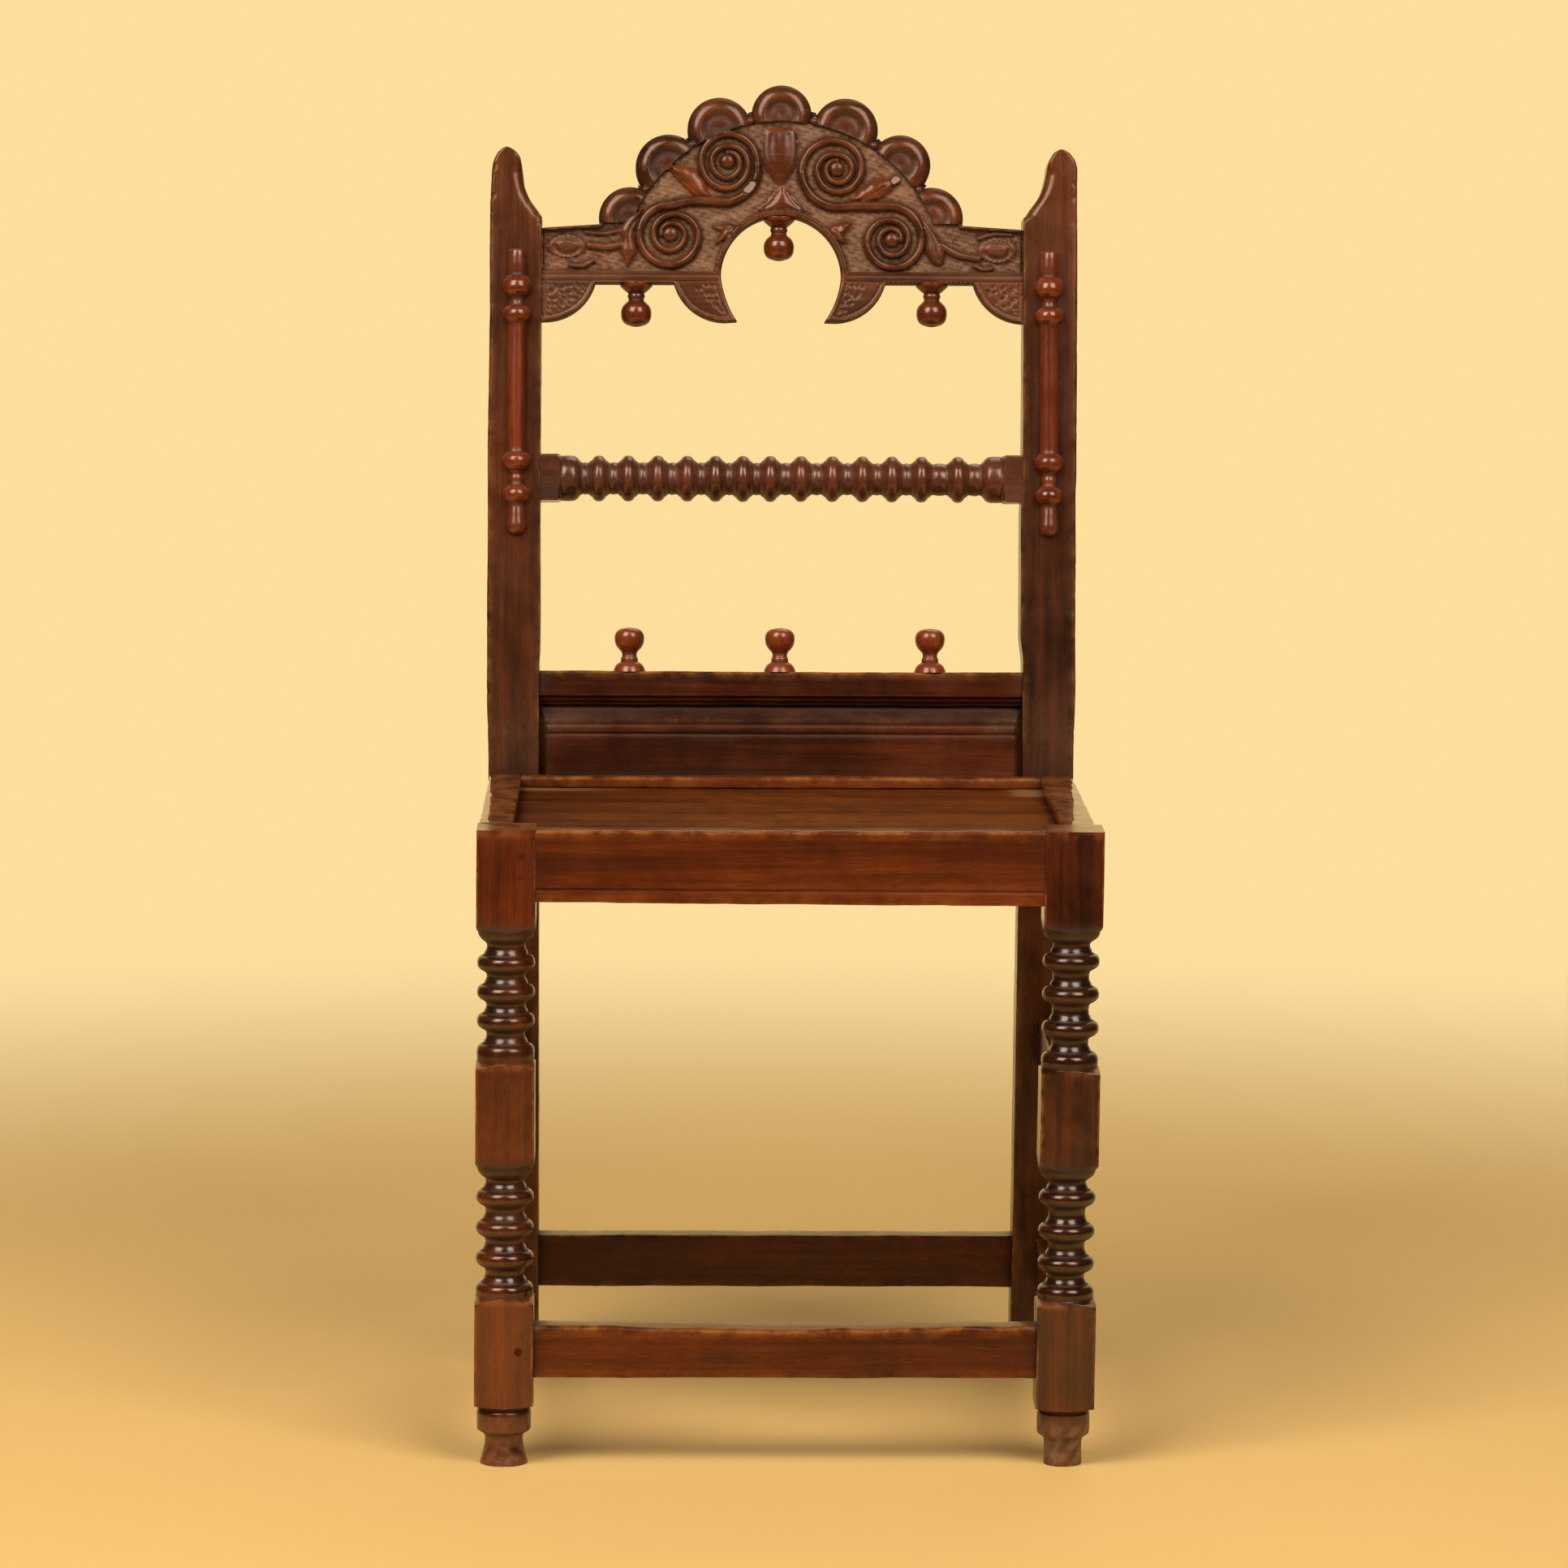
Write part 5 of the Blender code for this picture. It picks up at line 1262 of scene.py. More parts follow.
# Flat cuts on the ornament that mirror a lamp: place, half length, half width and slope
SHINING_CUTS = (
    ((-27.0, 79.0), 7.6, 4.6, (0.33, -0.2)),
    ((91.6, 85.0), 4.8, 4.0, (-0.25, -0.2)),
    ((47.4, 45.0), 3.6, 2.4, (-0.25, -0.2)),
)
HEART = ((0.0, 82.0), (-7.0, 74.0), (-14.5, 66.0), (-22.5, 60.0), (-14.0, 58.0), (-7.0, 57.2), (0.0, 57.0))


def volute(centre, start_degrees, radii):
    """Points of a spiral that winds in anticlockwise, its radius given at each quarter turn."""
    quarters = np.arange(len(radii))
    fine = np.linspace(0.0, len(radii) - 1, len(radii) * 5)
    reach = np.interp(fine, quarters, radii)
    angles = np.radians(start_degrees + 90 * fine)
    return np.column_stack((centre[0] + reach * np.cos(angles), centre[1] + reach * np.sin(angles)))


class Carving:
    """Raised ornament over the ground of the crest, as heights at the given points."""

    def __init__(self, points):
        self.points = points
        self.height = np.full(len(points), -1e9)
        self.cut = np.zeros(len(points))
        self.shade = np.zeros(len(points))
        self.tone = np.zeros(len(points))
        self.bright = np.zeros(len(points))

    def near(self, path, margin):
        low = path.min(axis=0) - margin
        high = path.max(axis=0) + margin
        return np.flatnonzero(((self.points > low) & (self.points < high)).all(axis=1))

    def lift(self, chosen, height, tone):
        higher = height > self.height[chosen]
        self.height[chosen] = np.where(higher, height, self.height[chosen])
        self.tone[chosen] = np.where(higher, tone, self.tone[chosen])

    def darken(self, chosen, outside):
        """Painted shade in the corner where the ornament meets the ground."""
        dirt = np.where(outside > 0, np.exp(-(outside / 2.6) ** 2), 0.0)
        self.shade[chosen] = np.maximum(self.shade[chosen], dirt)

    def stem(self, path, halves, top, tone=0.0):
        """A flattened stem along a path, its half width given at the start, the middle and the end."""
        chosen = self.near(path, 9.0)
        gap, nearest = path_distance(self.points[chosen], path)
        half = np.interp(nearest / (len(path) - 1), (0.0, 0.5, 1.0), halves)
        rise = np.clip(1 - (gap / half) ** 2.3, 0.0, 1.0) ** 0.5
        self.lift(chosen, np.where(gap < half, -GROUND + (GROUND + top) * rise, -1e9), tone)
        self.darken(chosen, gap - half)

    def leaf(self, outline, vein, top, soft, vein_depth, tone=0.35):
        """A leaf with a swollen face, cut by a vein."""
        chosen = self.near(outline, 6.0)
        places = self.points[chosen]
        within = inside(places, outline)
        gap = path_distance(places, outline)[0]
        height = np.where(within, -GROUND + (GROUND + top) * (1 - np.exp(-gap / soft)), -1e9)
        off = path_distance(places, vein)[0]
        height -= vein_depth * np.exp(-(off / 0.9) ** 2)
        self.lift(chosen, height, tone)
        self.darken(chosen, np.where(within, 0.0, gap))

    def groove(self, path, half, depth):
        chosen = self.near(path, half * 4)
        gap = path_distance(self.points[chosen], path)[0]
        self.cut[chosen] = np.maximum(self.cut[chosen], depth * np.exp(-(gap / half) ** 2))

    def facet(self, centre, half_length, half_width, slope, top):
        """A flat cut that catches the light, drawn out from lower left to upper right."""
        centre = np.array(centre)
        chosen = self.near(centre[None], half_length)
        offset = self.points[chosen] - centre
        along = (offset[:, 0] + offset[:, 1]) / math.sqrt(2) / half_length
        across = (offset[:, 0] - offset[:, 1]) / math.sqrt(2) / half_width
        share = 1 - smoothstep(0.75, 1.0, np.hypot(along, across))
        flat = top + offset @ np.array(slope)
        share *= self.height[chosen] > -GROUND
        self.height[chosen] = np.where(share > 0, self.height[chosen] * (1 - share) + flat * share, self.height[chosen])
        self.bright[chosen] = np.maximum(self.bright[chosen], share)

    def button(self, centre, radius, top, tone=0.2):
        """A round button, such as the heart of a volute."""
        centre = np.array(centre)
        chosen = self.near(centre[None], radius + 3.0)
        gap = np.linalg.norm(self.points[chosen] - centre, axis=1)
        rise = np.sqrt(np.clip(1 - (gap / radius) ** 2, 0.0, 1.0))
        self.lift(chosen, np.where(gap < radius, -GROUND + (GROUND + top) * rise ** 0.7, -1e9), tone)
        self.darken(chosen, gap - radius)


def closed_path(stops, step=0.7):
    """A smooth closed outline through the stops."""
    stops = list(stops)
    return smooth_path(stops + stops[:1], step)[:-1]


def mirrored(stops, middle):
    """A closed outline from its left half, drawn about the given middle."""
    left = [(middle + across, up) for across, up in stops]
    return closed_path(left + [(middle - across, up) for across, up in stops[-2:0:-1]])


def serrated(start, end, bulge, teeth, depth):
    """Stops of a leaf's toothed edge between two points."""
    start = np.array(start, float)
    end = np.array(end, float)
    along = end - start
    side = np.array((along[1], -along[0])) / np.linalg.norm(along)
    stops = []
    for index in range(1, teeth * 2):
        t = index / (teeth * 2)
        swell = bulge * math.sin(math.pi * t)
        tooth = depth if index % 2 else -depth
        stops.append(tuple(start + along * t + side * (swell + tooth)))
    return stops


def carve_side(carving, part, flip):
    """The volutes, stems and leaves of one side."""
    turn = np.array((flip, 1.0))

    def path(stops):
        return smooth_path(stops, 0.8) * turn

    def closed(stops):
        return closed_path(stops) * turn

    upper = volute(part["upper_eye"], 270, part["upper"])
    lower = volute(part["lower_eye"], 90, part["lower"])
    link = np.array(part["link"])
    carving.stem(path(upper), (3.7, 3.1, 2.6), -0.2, -0.08)
    carving.stem(path(lower), (3.7, 3.1, 2.6), -0.2, -0.15)
    carving.stem(path(np.vstack((upper[:6][::-1], link, lower[:6]))), (3.6, 4.4, 3.6), 0.0, -0.35)
    carving.button(part["upper_eye"] * turn, 6.2, -0.3)
    carving.button(part["lower_eye"] * turn, 6.2, -0.3)
    carving.button(part["nub"] * turn, 3.4, 0.0, 0.3)

    tip = part["spray"][-1]
    spray = list(part["spray"]) + serrated(tip, part["spray_end"], part["spray_swell"], 4, 0.4) + [part["spray_end"]]
    first = np.array(part["spray"][0])
    root = (first + part["spray_end"]) / 2
    carving.leaf(closed(spray), path((root, (root + tip) / 2 + (-0.5, -1.0), tip)), -0.2, 3.0, 1.0, part["spray_tone"])
    carving.leaf(closed(part["flame"]), path(part["flame_vein"]), 0.0, 2.6, 1.2, 0.1)
    carving.stem(path(part["tendril"]), (3.2, 3.0, 2.8), -1.6, -0.05)
    carving.stem(path(part["curl"]), (2.0, 1.8, 1.6), -2.4, -0.1)
    carving.stem(path(part["tail"]), (1.6, 2.2, 1.8), -2.2, -0.1)

    across, up, wide, tall = part["flower"]
    angles = np.linspace(0.0, math.tau, 25)[:-1]
    oval = np.column_stack((np.cos(angles) * wide, np.sin(angles) * tall))
    centre = np.array((across, up))
    carving.leaf((centre + oval) * turn, path((centre + (-2.0, 3.0), centre + (2.0, 3.0))), -1.2, 3.0, 0.0, -0.05)
    carving.groove(path(centre + oval[:13] * 0.62), 1.4, 1.0)
    carving.groove(path(centre + (0.0, -0.6) + oval[12:] * 0.6), 2.2, 2.2)
    spur = part["spur"]
    carving.leaf(closed(spur), path((spur[0], (spur[0] + np.array(spur[3])) / 2, spur[3])), -0.4, 2.4, 1.0, 0.2)


def carve(points):
    """All the ornament of the field."""
    carving = Carving(points)
    carve_side(carving, SCROLLS["left"], 1)
    carve_side(carving, SCROLLS["right"], -1)
    carving.leaf(mirrored(BUD, BUD_SHIFT), smooth_path(((BUD_SHIFT, 123.0), (BUD_SHIFT, 90.0)), 0.8), -1.2, 5.0, 0.3, 0.15)
    for side in (-1, 1):
        sweep = ((side * 7.0, 121.0), (side * 7.6, 106.0), (side * 2.6, 91.0))
        carving.groove(smooth_path([(BUD_SHIFT + across, up) for across, up in sweep], 0.8), 2.6, 0.35)
        carving.groove(smooth_path(((side * 3.0, 75.0), (side * 8.5, 67.0), (side * 15.0, 61.5)), 0.8), 1.6, 0.6)
    carving.leaf(mirrored(HEART, -0.6), smooth_path(((-0.6, 78.0), (-0.6, 61.0)), 0.8), -1.8, 7.0, 0.3, 0.15)
    for centre, half_length, half_width, slope in SHINING_CUTS:
        carving.facet(centre, half_length, half_width, slope, -1.4)
    return carving


def crest_relief(points, edge):
    """Depth of the carved front behind its front plane, with its marks."""
    across, up = points.T
    flat = np.column_stack((points, np.zeros(len(points))))
    radius = np.hypot(across, up)
    field = (radius < FIELD_RADIUS) | (up < CREST_SHOULDER + SHOULDER_SLOPE + 1.0)
    lobes, deep = lobe_relief(points)
    edge = np.where(np.abs(across) > POST_INNER - 2.5, 10.0, edge)
    carving = carve(points)

    margin = np.where(np.abs(across) < ARCH_RADIUS + 14.0, 4.4, 1.8)
    sink = smoothstep(BORDER - 0.4, BORDER + 1.8, up) * smoothstep(margin, margin + 1.8, edge)
    stipple = 0.35 * ripple(flat, 3.2, 21) + 0.25 * ripple(flat, 7.0, 22)
    ground = (stipple - GROUND) * sink
    shown = np.where(up > BORDER - 2.0, carving.height, -1e9)
    inner = np.maximum(ground, shown) - carving.cut * sink
    banded = (np.abs(across) > ARCH_RADIUS + 3.0) & (up > 0.0)
    lines = (np.exp(-((up - 6.9) / 0.7) ** 2) + np.exp(-((up - 2.2) / 0.7) ** 2)) * banded
    bracket = up < 1.0
    cuts = gouge_cuts(points, edge) * bracket
    inner -= 0.7 * lines + cuts + np.exp(-((edge - 4.4) / 0.8) ** 2) * bracket

    height = np.where(field, inner, np.maximum(lobes, np.where(np.abs(across) > 104.0, carving.height, -1e9)))
    height = np.minimum(height, 0.0) + 0.1 * ripple(flat, 25.0, 23)
    ease = np.where(bracket, 1.6, 2.0)
    drop = ease - np.sqrt(np.clip(ease ** 2 - np.clip(ease - edge, 0.0, None) ** 2, 0.0, None))
    height -= drop * field

    raised = shown > ground
    bare = sink * field * (height < -GROUND * 0.6) * ~raised
    ends = smoothstep(112.0, 142.0, np.abs(across)) * field
    patchy = np.clip(0.85 + 0.3 * ripple(flat, 20.0, 24), 0.5, 1.0) * (1 - 0.45 * ends)
    dust = bare * patchy * (1 - 0.6 * carving.shade)
    dust = np.maximum(dust, 0.15 * ends)
    dust = np.maximum(dust, bracket * (0.05 + 0.3 * smoothstep(0.3, 1.0, cuts)))
    wear = 0.25 * smoothstep(-1.6, -0.2, height) * raised * field
    wear = np.maximum(wear, 0.4 * np.exp(-((deep - ROLL + 2.0) / 2.2) ** 2) * ~field)
    wear = np.maximum(wear, 0.25 * np.exp(-((deep - ROLL - 9.4) / 2.0) ** 2) * ~field)
    low_edge = (up < 20.0) | (np.abs(across) < ARCH_RADIUS + 6.0) & (up < 70.0)
    wear = np.maximum(wear, 0.9 * np.exp(-((edge - 1.0) / 1.0) ** 2) * low_edge)
    # Painted shade: the line where the lobes rise from the field, the trough inside each lobe's roll, the rim of the
    # upper outline and the corners beside the ornament. The cut lines are darkened too.
    dirt = 0.95 * np.exp(-((radius - FIELD_RADIUS) / 1.3) ** 2) * (up > CREST_SHOULDER) * ~raised
    dirt = np.maximum(dirt, 0.5 * lines)
    dirt = np.maximum(dirt, 0.45 * np.exp(-((deep - ROLL - 4.0) / 1.8) ** 2) * ~field * ~raised)
    dirt = np.maximum(dirt, 0.9 * np.exp(-(edge / 2.2) ** 2) * ~low_edge)
    dirt = np.maximum(dirt, 0.55 * carving.shade * sink * ~raised)
    tone = np.where(raised, carving.tone, 0.0) - 0.1 * (banded & (up < BORDER)) + 0.15 * ends - 0.3 * ~field - 0.2 * bracket
    polish = 0.3 * raised * field * (1 - ends) + 0.5 * (~field & (deep < ROLL))
    polish = np.maximum(polish, carving.bright)
    return -height, {"wear": wear, "dirt": dirt, "dust": dust, "tone": tone, "polish": polish}


def gouge_cuts(points, edge):
    """Short gouge cuts that fill the brackets and claws with simple foliage."""
    draw = np.random.default_rng(33)
    depth = np.zeros(len(points))
    patches = ((-192.0, -192.0, 1.0), (192.0, 192.0, -1.0), (-66.0, -46.0, 0.8), (66.0, 46.0, -0.8))
    for top, foot, sign in patches:
        for share in np.linspace(0.0, 1.0, 6):
            root = np.array((top + (foot - top) * share, -2.5 - 25.0 * share))
            for reach in np.arange(0.0, 38.0, 6.4):
                slant = math.radians(-25 + 30 * draw.normal())
                centre = root + np.array((sign * reach, 0.0)) + draw.normal(0.0, 1.1, 2)
                along = np.array((math.cos(slant) * sign, math.sin(slant)))
                along /= np.linalg.norm(along)
                offset = points - centre
                run = offset @ along
                side = offset @ np.array((-along[1], along[0]))
                length = draw.uniform(1.6, 3.0)
                depth = np.maximum(depth, 1.9 * np.exp(-(run / length) ** 2 - (side / 1.2) ** 2))
    return depth * smoothstep(5.0, 6.5, edge)


def settle_marks(points, faces, marks, front):
    """Adds dirt and painted shade to hollows and wear to ridges of the front, from how each point lies against its
    neighbours.
    """
    pairs = set()
    for face in faces:
        if max(face) >= front:
            continue
        for first, second in zip(face, face[1:] + face[:1]):
            pairs.add((first, second) if first < second else (second, first))
    pairs = np.array(list(pairs))
    depth = points[:, 2].copy()
    count = np.bincount(pairs.ravel(), minlength=len(points)).astype(float)
    for _ in range(5):
        total = np.bincount(pairs[:, 0], depth[pairs[:, 1]], len(points))
        total += np.bincount(pairs[:, 1], depth[pairs[:, 0]], len(points))
        depth = np.where(count > 0, total / np.maximum(count, 1), depth)
    hollow = points[:, 2] - depth
    marks["dirt"] = np.clip(marks["dirt"] + 1.5 * np.clip(hollow - 0.12, 0.0, 0.6), 0.0, 1.0)
    marks["wear"] = np.clip(marks["wear"] + 0.45 * np.clip(-hollow - 0.12, 0.0, 0.5), 0.0, 1.0)
    return marks


def make_crest():
    points, faces, marks, front = plate(crest_outline(), 0.85, 9.0, crest_relief, BACK_THICKNESS, wall_dirt=0.8)
    marks = settle_marks(points, faces, marks, front)
    local = np.column_stack((points[:, 0], BACK_FACE + points[:, 2], CREST_RISE + points[:, 1]))
    place = leaning(local)
    add_piece("crest_carved", place, face_out(place, faces), marks, ["crest"], "carved_oak", ACROSS, 50)


# Pegs


def make_pegs():
    """Riven pegs, all but flush, not quite round."""
    for node in sorted(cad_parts):
        if "_peg_" not in node:
            continue
        low, high = node_box(node)
        middle = (low + high) / 2
        size = high - low
        if node.startswith(("crest", "lower_back")):
            out = np.array((0.0, math.cos(RAKE), -math.sin(RAKE)))
            half = 16.1
        else:
            axis = int(size.argmax())
            out = np.zeros(3)
            rear = node.startswith(("rear_stretcher", "rear_rail"))
            out[axis] = math.copysign(1.0, middle[0]) if axis == 0 else (1.0 if rear else -1.0)
            half = size[axis] / 2
        tone = 0.0
        rim = 0.8
        proud = 0.6
        if middle[1] < LEG:
            word = "left" if middle[0] < 0 else "right"
            middle[0] += leg_shift(word, middle[2])
            tone = LEG_TURNING[word]["tone"]
            rim = 0.15
            proud = 0.4
        first = np.cross(out, UP if abs(out[2]) < 0.7 else ACROSS)
        first /= np.linalg.norm(first)
        second = np.cross(out, first)
        draw = np.random.default_rng(200 + len(PIECES))
        sides = 20
        angles = np.linspace(0.0, math.tau, sides, endpoint=False)
        radius = 3.7 + 0.25 * np.cos(angles * 4 + draw.uniform(0, 6)) + 0.15 * np.cos(angles * 3 + draw.uniform(0, 6))
        rings = []
        for depth, share in ((-9.0, 0.9), (-0.25, 1.0), (-0.1, 0.95), (-0.02, 0.7), (0.0, 0.3)):
            ring = middle + out * (half + proud + depth)
            ring = ring + (radius * share)[:, None] * (np.cos(angles)[:, None] * first + np.sin(angles)[:, None] * second)
            rings.append(ring)
        dirt = np.repeat(np.array((rim, rim, rim * 0.4, 0.0, 0.0)), sides)
        marks = {"dirt": dirt, "tone": tone}
        add_piece(node + "_head", np.concatenate(rings), loft_faces(5, sides), marks, [node], "peg_oak", out)


# Materials


def linear(colour):
    values = np.array(colour, float) / 255
    return tuple(np.where(values <= 0.04045, values / 12.92, ((values + 0.055) / 1.055) ** 2.4)) + (1.0,)


class Nodes:
    """Short forms for the nodes of one material."""

    def __init__(self, tree):
        self.tree = tree

    def new(self, kind, **settings):
        node = self.tree.nodes.new(kind)
        for key, value in settings.items():
            setattr(node, key, value)
        return node

    def put(self, socket, value):
        if hasattr(value, "is_output"):
            self.tree.links.new(value, socket)
        else:
            socket.default_value = value

    def attribute(self, name, output):
        return self.new("ShaderNodeAttribute", attribute_name=name).outputs[output]

    def math(self, operation, first, second=0.0, clamp=False):
        node = self.new("ShaderNodeMath", operation=operation, use_clamp=clamp)
        self.put(node.inputs[0], first)
        self.put(node.inputs[1], second)
        return node.outputs[0]

    def stretch(self, vector, scale):
        node = self.new("ShaderNodeVectorMath", operation="MULTIPLY")
        self.put(node.inputs[0], vector)
        node.inputs[1].default_value = scale
        return node.outputs[0]

    def noise(self, vector, scale, detail, roughness=0.55, distortion=0.0):
        node = self.new("ShaderNodeTexNoise")
        self.put(node.inputs["Vector"], vector)
        node.inputs["Scale"].default_value = scale
        node.inputs["Detail"].default_value = detail
        node.inputs["Roughness"].default_value = roughness
        node.inputs["Distortion"].default_value = distortion
        return node.outputs["Fac"]

    def band(self, value, low, high, out_low=0.0, out_high=1.0):
        node = self.new("ShaderNodeMapRange", interpolation_type="SMOOTHSTEP")
        self.put(node.inputs["Value"], value)
        node.inputs["From Min"].default_value = low
        node.inputs["From Max"].default_value = high
        node.inputs["To Min"].default_value = out_low
        node.inputs["To Max"].default_value = out_high
        return node.outputs["Result"]

    def mix(self, factor, first, second, mode="MIX"):
        node = self.new("ShaderNodeMix", data_type="RGBA", blend_type=mode)
        self.put(node.inputs["Factor"], factor)
        self.put(node.inputs["A"], first)
        self.put(node.inputs["B"], second)
        return node.outputs["Result"]

    def ramp(self, value, stops):
        node = self.new("ShaderNodeValToRGB")
        self.put(node.inputs["Fac"], value)
        elements = node.color_ramp.elements
        while len(elements) < len(stops):
            elements.new(0.5)
        for element, (position, colour) in zip(elements, stops):
            element.position = position
            element.color = colour
        return node.outputs["Color"]


DIRT_AND_SHADE_TONE = (20, 10, 4)
DUST_TONE = (140, 103, 73)
MIRROR_TINT = (1.0, 0.8, 0.7, 1.0)

# Colours from dark to light grain, the worn tone, roughness, bump and mirror strength of each finish
FINISHES = {
    "post_oak": (((38, 16, 4), (80, 37, 11), (116, 58, 19)), (150, 94, 50), 0.25, 0.14, 0.50),
    "leg_oak": (((40, 13, 3), (93, 37, 9), (126, 54, 15)), (158, 90, 44), 0.18, 0.07, 0.85),
    "rail_oak": (((52, 20, 6), (93, 39, 11), (122, 56, 18)), (164, 98, 40), 0.24, 0.16, 0.34),
    "seat_oak": (((48, 20, 5), (88, 41, 11), (120, 61, 19)), (136, 78, 32), 0.48, 0.16, 0.03),
    "carved_oak": (((42, 18, 7), (88, 42, 18), (132, 63, 26)), (148, 94, 58), 0.26, 0.16, 0.50),
    "turned_oak": (((50, 15, 5), (98, 37, 12), (138, 60, 23)), (160, 88, 50), 0.20, 0.05, 0.85),
    "peg_oak": (((34, 13, 4), (84, 31, 8), (112, 46, 14)), (124, 66, 34), 0.40, 0.25, 0.14),
}


def make_oak(slot, finish):
    tones, worn, roughness, bump, mirror = finish
    material = bpy.data.materials.new(slot)
    material.use_nodes = True
    tree = material.node_tree
    shader = tree.nodes["Principled BSDF"]
    n = Nodes(tree)
    grain = n.attribute("grain", "Vector")
    wear = n.attribute("wear", "Fac")
    dirt = n.attribute("dirt", "Fac")
    dust = n.attribute("dust", "Fac")
    polish = n.attribute("polish", "Fac")

    figure = n.noise(n.stretch(grain, (2.4, 30.0, 30.0)), 1.0, 3.0, 0.5, 0.6)
    rings = n.noise(n.stretch(grain, (5.0, 170.0, 170.0)), 1.0, 3.0, 0.6, 0.3)
    fibre = n.noise(n.stretch(grain, (26.0, 900.0, 900.0)), 1.0, 2.0)
    pores = n.noise(n.stretch(grain, (85.0, 1500.0, 1500.0)), 1.0, 1.0)
    mottle = n.noise(grain, 22.0, 5.0, 0.6, 0.4)
    specks = n.noise(grain, 320.0, 3.0, 0.65)

    tone = n.math("MULTIPLY", figure, 0.5)
    tone = n.math("ADD", tone, n.math("MULTIPLY", rings, 0.34))
    tone = n.math("ADD", tone, n.math("MULTIPLY", mottle, 0.30))
    tone = n.band(tone, 0.31, 0.83)
    tone = n.math("ADD", tone, n.math("MULTIPLY", n.attribute("tone", "Fac"), 0.6), clamp=True)
    colour = n.ramp(tone, ((0.0, linear(tones[0])), (0.5, linear(tones[1])), (1.0, linear(tones[2]))))
    colour = n.mix(n.band(fibre, 0.40, 0.66, 0.0, 0.30), colour, linear(tones[0]))
    open_pores = n.band(pores, 0.60, 0.70, 0.0, 0.55)
    colour = n.mix(open_pores, colour, linear(DIRT_AND_SHADE_TONE))

    rubbed = n.math("MULTIPLY", wear, n.band(n.noise(grain, 60.0, 4.0, 0.6), 0.36, 0.66))
    colour = n.mix(n.math("MULTIPLY", rubbed, 0.75), colour, linear(worn))
    marks = n.math("MULTIPLY", n.band(specks, 0.66, 0.76), n.band(mottle, 0.45, 0.65, 0.0, 0.5))
    colour = n.mix(marks, colour, linear(worn))
    # Dirt and painted shade from the dirt mark, in one dark tone.
    caked_dirt_and_shade = n.math("MULTIPLY", dirt, n.band(n.noise(grain, 90.0, 3.0), 0.25, 0.55, 0.45, 1.0))
    colour = n.mix(n.math("MULTIPLY", caked_dirt_and_shade, 0.9), colour, linear(DIRT_AND_SHADE_TONE))
    lying = n.math("MULTIPLY", dust, n.band(n.noise(grain, 240.0, 4.0, 0.7), 0.30, 0.62, 0.35, 0.9))
    colour = n.mix(lying, colour, linear(DUST_TONE))
    n.put(shader.inputs["Base Color"], colour)

    rough = n.math("ADD", n.band(mottle, 0.3, 0.7, roughness - 0.03, roughness + 0.06), n.math("MULTIPLY", dust, 0.32))
    rough = n.math("ADD", rough, n.math("MULTIPLY", dirt, 0.5))
    rough = n.math("ADD", rough, n.math("MULTIPLY", open_pores, 0.2))
    rough = n.math("SUBTRACT", rough, n.math("MULTIPLY", polish, 0.2))
    rough = n.math("MAXIMUM", rough, 0.08, clamp=True)
    n.put(shader.inputs["Roughness"], rough)
    shader.inputs["Specular IOR Level"].default_value = mirror
    shader.inputs["Specular Tint"].default_value = MIRROR_TINT

    height = n.math("MULTIPLY", fibre, 0.2)
    height = n.math("ADD", height, n.math("MULTIPLY", rings, 0.5))
    height = n.math("SUBTRACT", height, n.math("MULTIPLY", open_pores, 0.4))
    height = n.math("ADD", height, n.math("MULTIPLY", mottle, 1.2))
    height = n.math("ADD", height, n.math("MULTIPLY", n.math("MULTIPLY", dust, specks), 1.2))
    height = n.math("MULTIPLY", height, n.math("SUBTRACT", 1.0, n.math("MULTIPLY", polish, 0.8)))
    bumps = n.new("ShaderNodeBump")
    bumps.inputs["Strength"].default_value = bump
    bumps.inputs["Distance"].default_value = 0.0012
    n.put(bumps.inputs["Height"], height)
    n.put(shader.inputs["Normal"], bumps.outputs["Normal"])
    return material


# Stage, light and camera

BACKDROP = (254, 222, 157)
FLOOR_TONE = (238, 195, 120)
FLOOR_FADE_START = 0.9
FLOOR_FADE_END = 2.6


def make_floor():
    material = bpy.data.materials.new("pale_floor")
    material.use_nodes = True
    n = Nodes(material.node_tree)
    shader = material.node_tree.nodes["Principled BSDF"]
    place = n.new("ShaderNodeNewGeometry").outputs["Position"]
    shade = n.noise(place, 3.0, 2.0)
    tone = linear(FLOOR_TONE)
    light = tuple(min(1.0, value * 1.04) for value in tone[:3]) + (1.0,)
    n.put(shader.inputs["Base Color"], n.mix(shade, tone, light))
    shader.inputs["Roughness"].default_value = 0.7
    shader.inputs["Specular IOR Level"].default_value = 0.2
    length = n.new("ShaderNodeVectorMath", operation="LENGTH")
    n.put(length.inputs[0], place)
    fade = n.band(length.outputs["Value"], FLOOR_FADE_START, FLOOR_FADE_END)
    clear = n.new("ShaderNodeBsdfTransparent")
    blend = n.new("ShaderNodeMixShader")
    n.put(blend.inputs[0], fade)
    n.put(blend.inputs[1], shader.outputs[0])
    n.put(blend.inputs[2], clear.outputs[0])
    n.put(material.node_tree.nodes["Material Output"].inputs["Surface"], blend.outputs[0])
    mesh = bpy.data.meshes.new("floor")
    half = FLOOR_FADE_END * 1.1
    mesh.from_pydata([(-half, -half, 0), (half, -half, 0), (half, half, 0), (-half, half, 0)], [], [(0, 1, 2, 3)])
    mesh.materials.append(material)
    floor = bpy.data.objects.new("floor", mesh)
    bpy.context.scene.collection.objects.link(floor)


# Strength of the fill light, and of the room in front of the stool as a polished face mirrors it
FILL = 0.12
DIM = 0.05


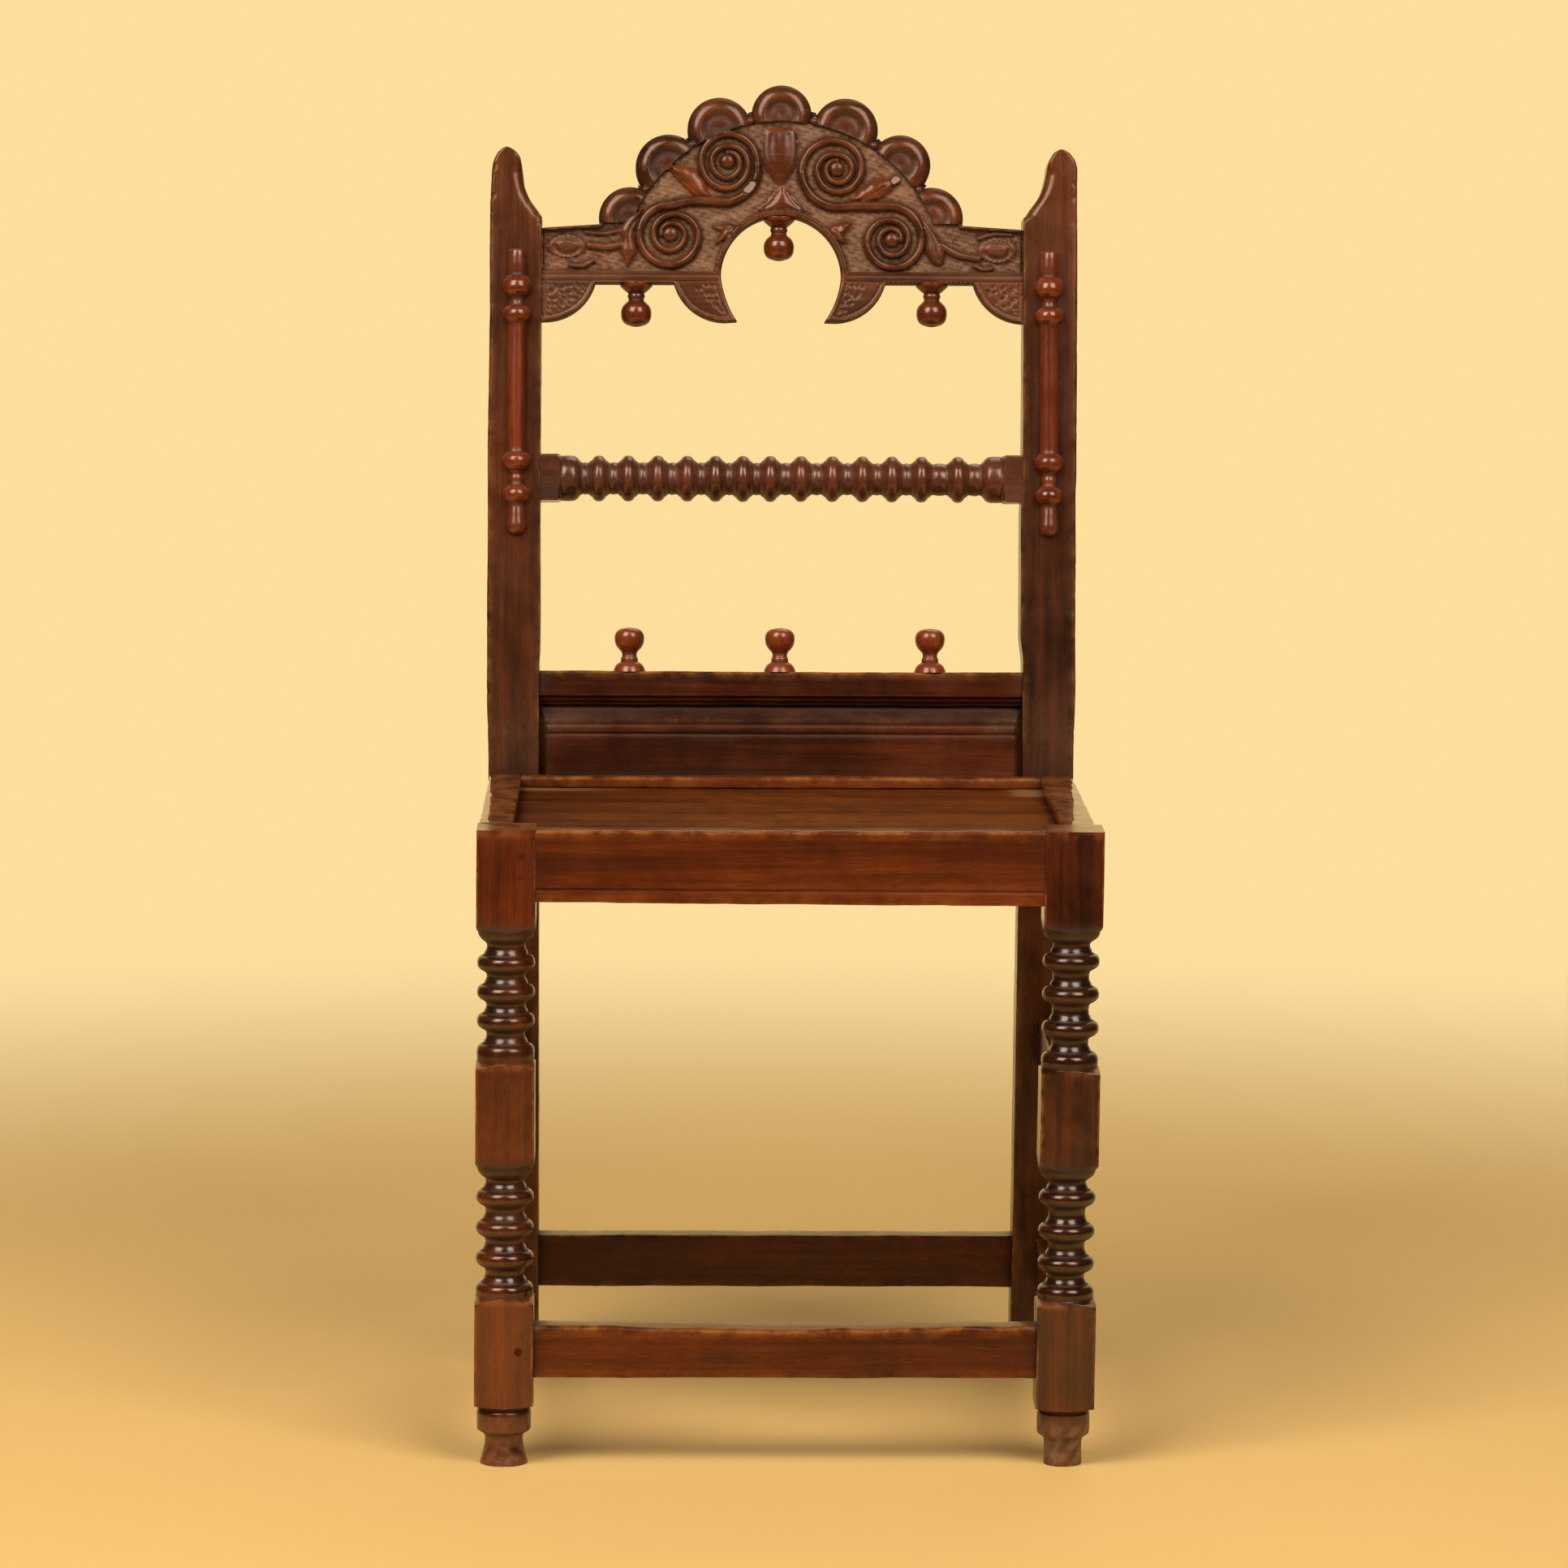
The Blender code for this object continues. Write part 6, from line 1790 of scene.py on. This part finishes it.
def make_world():
    world = bpy.data.worlds.new("studio")
    world.use_nodes = True
    bpy.context.scene.world = world
    n = Nodes(world.node_tree)
    output = world.node_tree.nodes["World Output"]
    fill_light = world.node_tree.nodes["Background"]
    fill_light.inputs["Color"].default_value = (1.0, 0.94, 0.84, 1.0)
    seen = n.new("ShaderNodeBackground")
    seen.inputs["Color"].default_value = linear(BACKDROP)
    seen.inputs["Strength"].default_value = 1.0
    path = n.new("ShaderNodeLightPath")
    toward = n.new("ShaderNodeSeparateXYZ")
    n.put(toward.inputs[0], n.new("ShaderNodeTexCoord").outputs["Generated"])
    behind = n.band(toward.outputs["Y"], 0.6, 0.97)
    glossy = path.outputs["Is Glossy Ray"]
    n.put(fill_light.inputs["Strength"], n.math("SUBTRACT", FILL, n.math("MULTIPLY", glossy, FILL - DIM)))
    mirrored_wall = n.math("MULTIPLY", glossy, behind)
    rays = n.math("MAXIMUM", path.outputs["Is Camera Ray"], mirrored_wall)
    rays = n.math("MAXIMUM", rays, path.outputs["Is Transmission Ray"])
    blend = n.new("ShaderNodeMixShader")
    n.put(blend.inputs[0], rays)
    n.put(blend.inputs[1], fill_light.outputs[0])
    n.put(blend.inputs[2], seen.outputs[0])
    n.put(output.inputs["Surface"], blend.outputs[0])


AIM = Vector((0.0, 0.0, 0.55))

# Lamps: azimuth from the front, elevation, distance, width and height in metres, watts
LAMPS = (
    ("left_softbox", -39.0, 42.0, 3.2, 1.6, 2.2, 85.0),
    ("right_softbox", 33.0, 40.0, 4.2, 2.0, 2.7, 106.0),
    ("rear_softbox", 165.0, 50.0, 3.2, 1.6, 1.6, 14.0),
)


def make_lamps():
    for name, azimuth, elevation, distance, wide, tall, watts in LAMPS:
        light = bpy.data.lights.new(name, "AREA")
        light.shape = "RECTANGLE"
        light.size = wide
        light.size_y = tall
        light.energy = watts
        light.color = (1.0, 0.93, 0.82)
        lamp = bpy.data.objects.new(name, light)
        turn = math.radians(azimuth)
        rise = math.radians(elevation)
        away = Vector((math.sin(turn) * math.cos(rise), -math.cos(turn) * math.cos(rise), math.sin(rise)))
        lamp.location = AIM + away * distance
        lamp.rotation_euler = away.to_track_quat("Z", "Y").to_euler()
        bpy.context.scene.collection.objects.link(lamp)


# The camera that fits the photograph's straight edges: place in the stool frame, turns and lens
CAMERA_PLACE = (-96.7, -5125.7, 1155.1)
CAMERA_YAW = 0.0181
CAMERA_PITCH = 0.1213
CAMERA_ROLL = 0.0056
SENSOR = 36.0
LENS = 156.17


def make_camera():
    data = bpy.data.cameras.new("camera")
    data.sensor_width = SENSOR
    data.sensor_fit = "HORIZONTAL"
    data.lens = LENS
    camera = bpy.data.objects.new("camera", data)
    place = (np.array(CAMERA_PLACE) + (0.0, FRONT, 0.0)) * MM
    turn = Matrix.Rotation(-CAMERA_YAW, 4, "Z") @ Matrix.Rotation(math.pi / 2 - CAMERA_PITCH, 4, "X")
    turn = turn @ Matrix.Rotation(CAMERA_ROLL, 4, "Z")
    camera.matrix_world = Matrix.Translation(place) @ turn
    bpy.context.scene.collection.objects.link(camera)
    bpy.context.scene.camera = camera


OAKS = {slot: make_oak(slot, finish) for slot, finish in FINISHES.items()}
make_camera()
make_front_legs()
make_rear_posts()
make_seat_rails()
make_stretchers()
make_fillet()
make_seat_panel()
make_lower_back()
make_ring_rail()
make_knobs()
make_spindles()
make_crest()
make_pegs()
make_floor()
make_world()
make_lamps()
bpy.context.scene.view_settings.view_transform = "Standard"
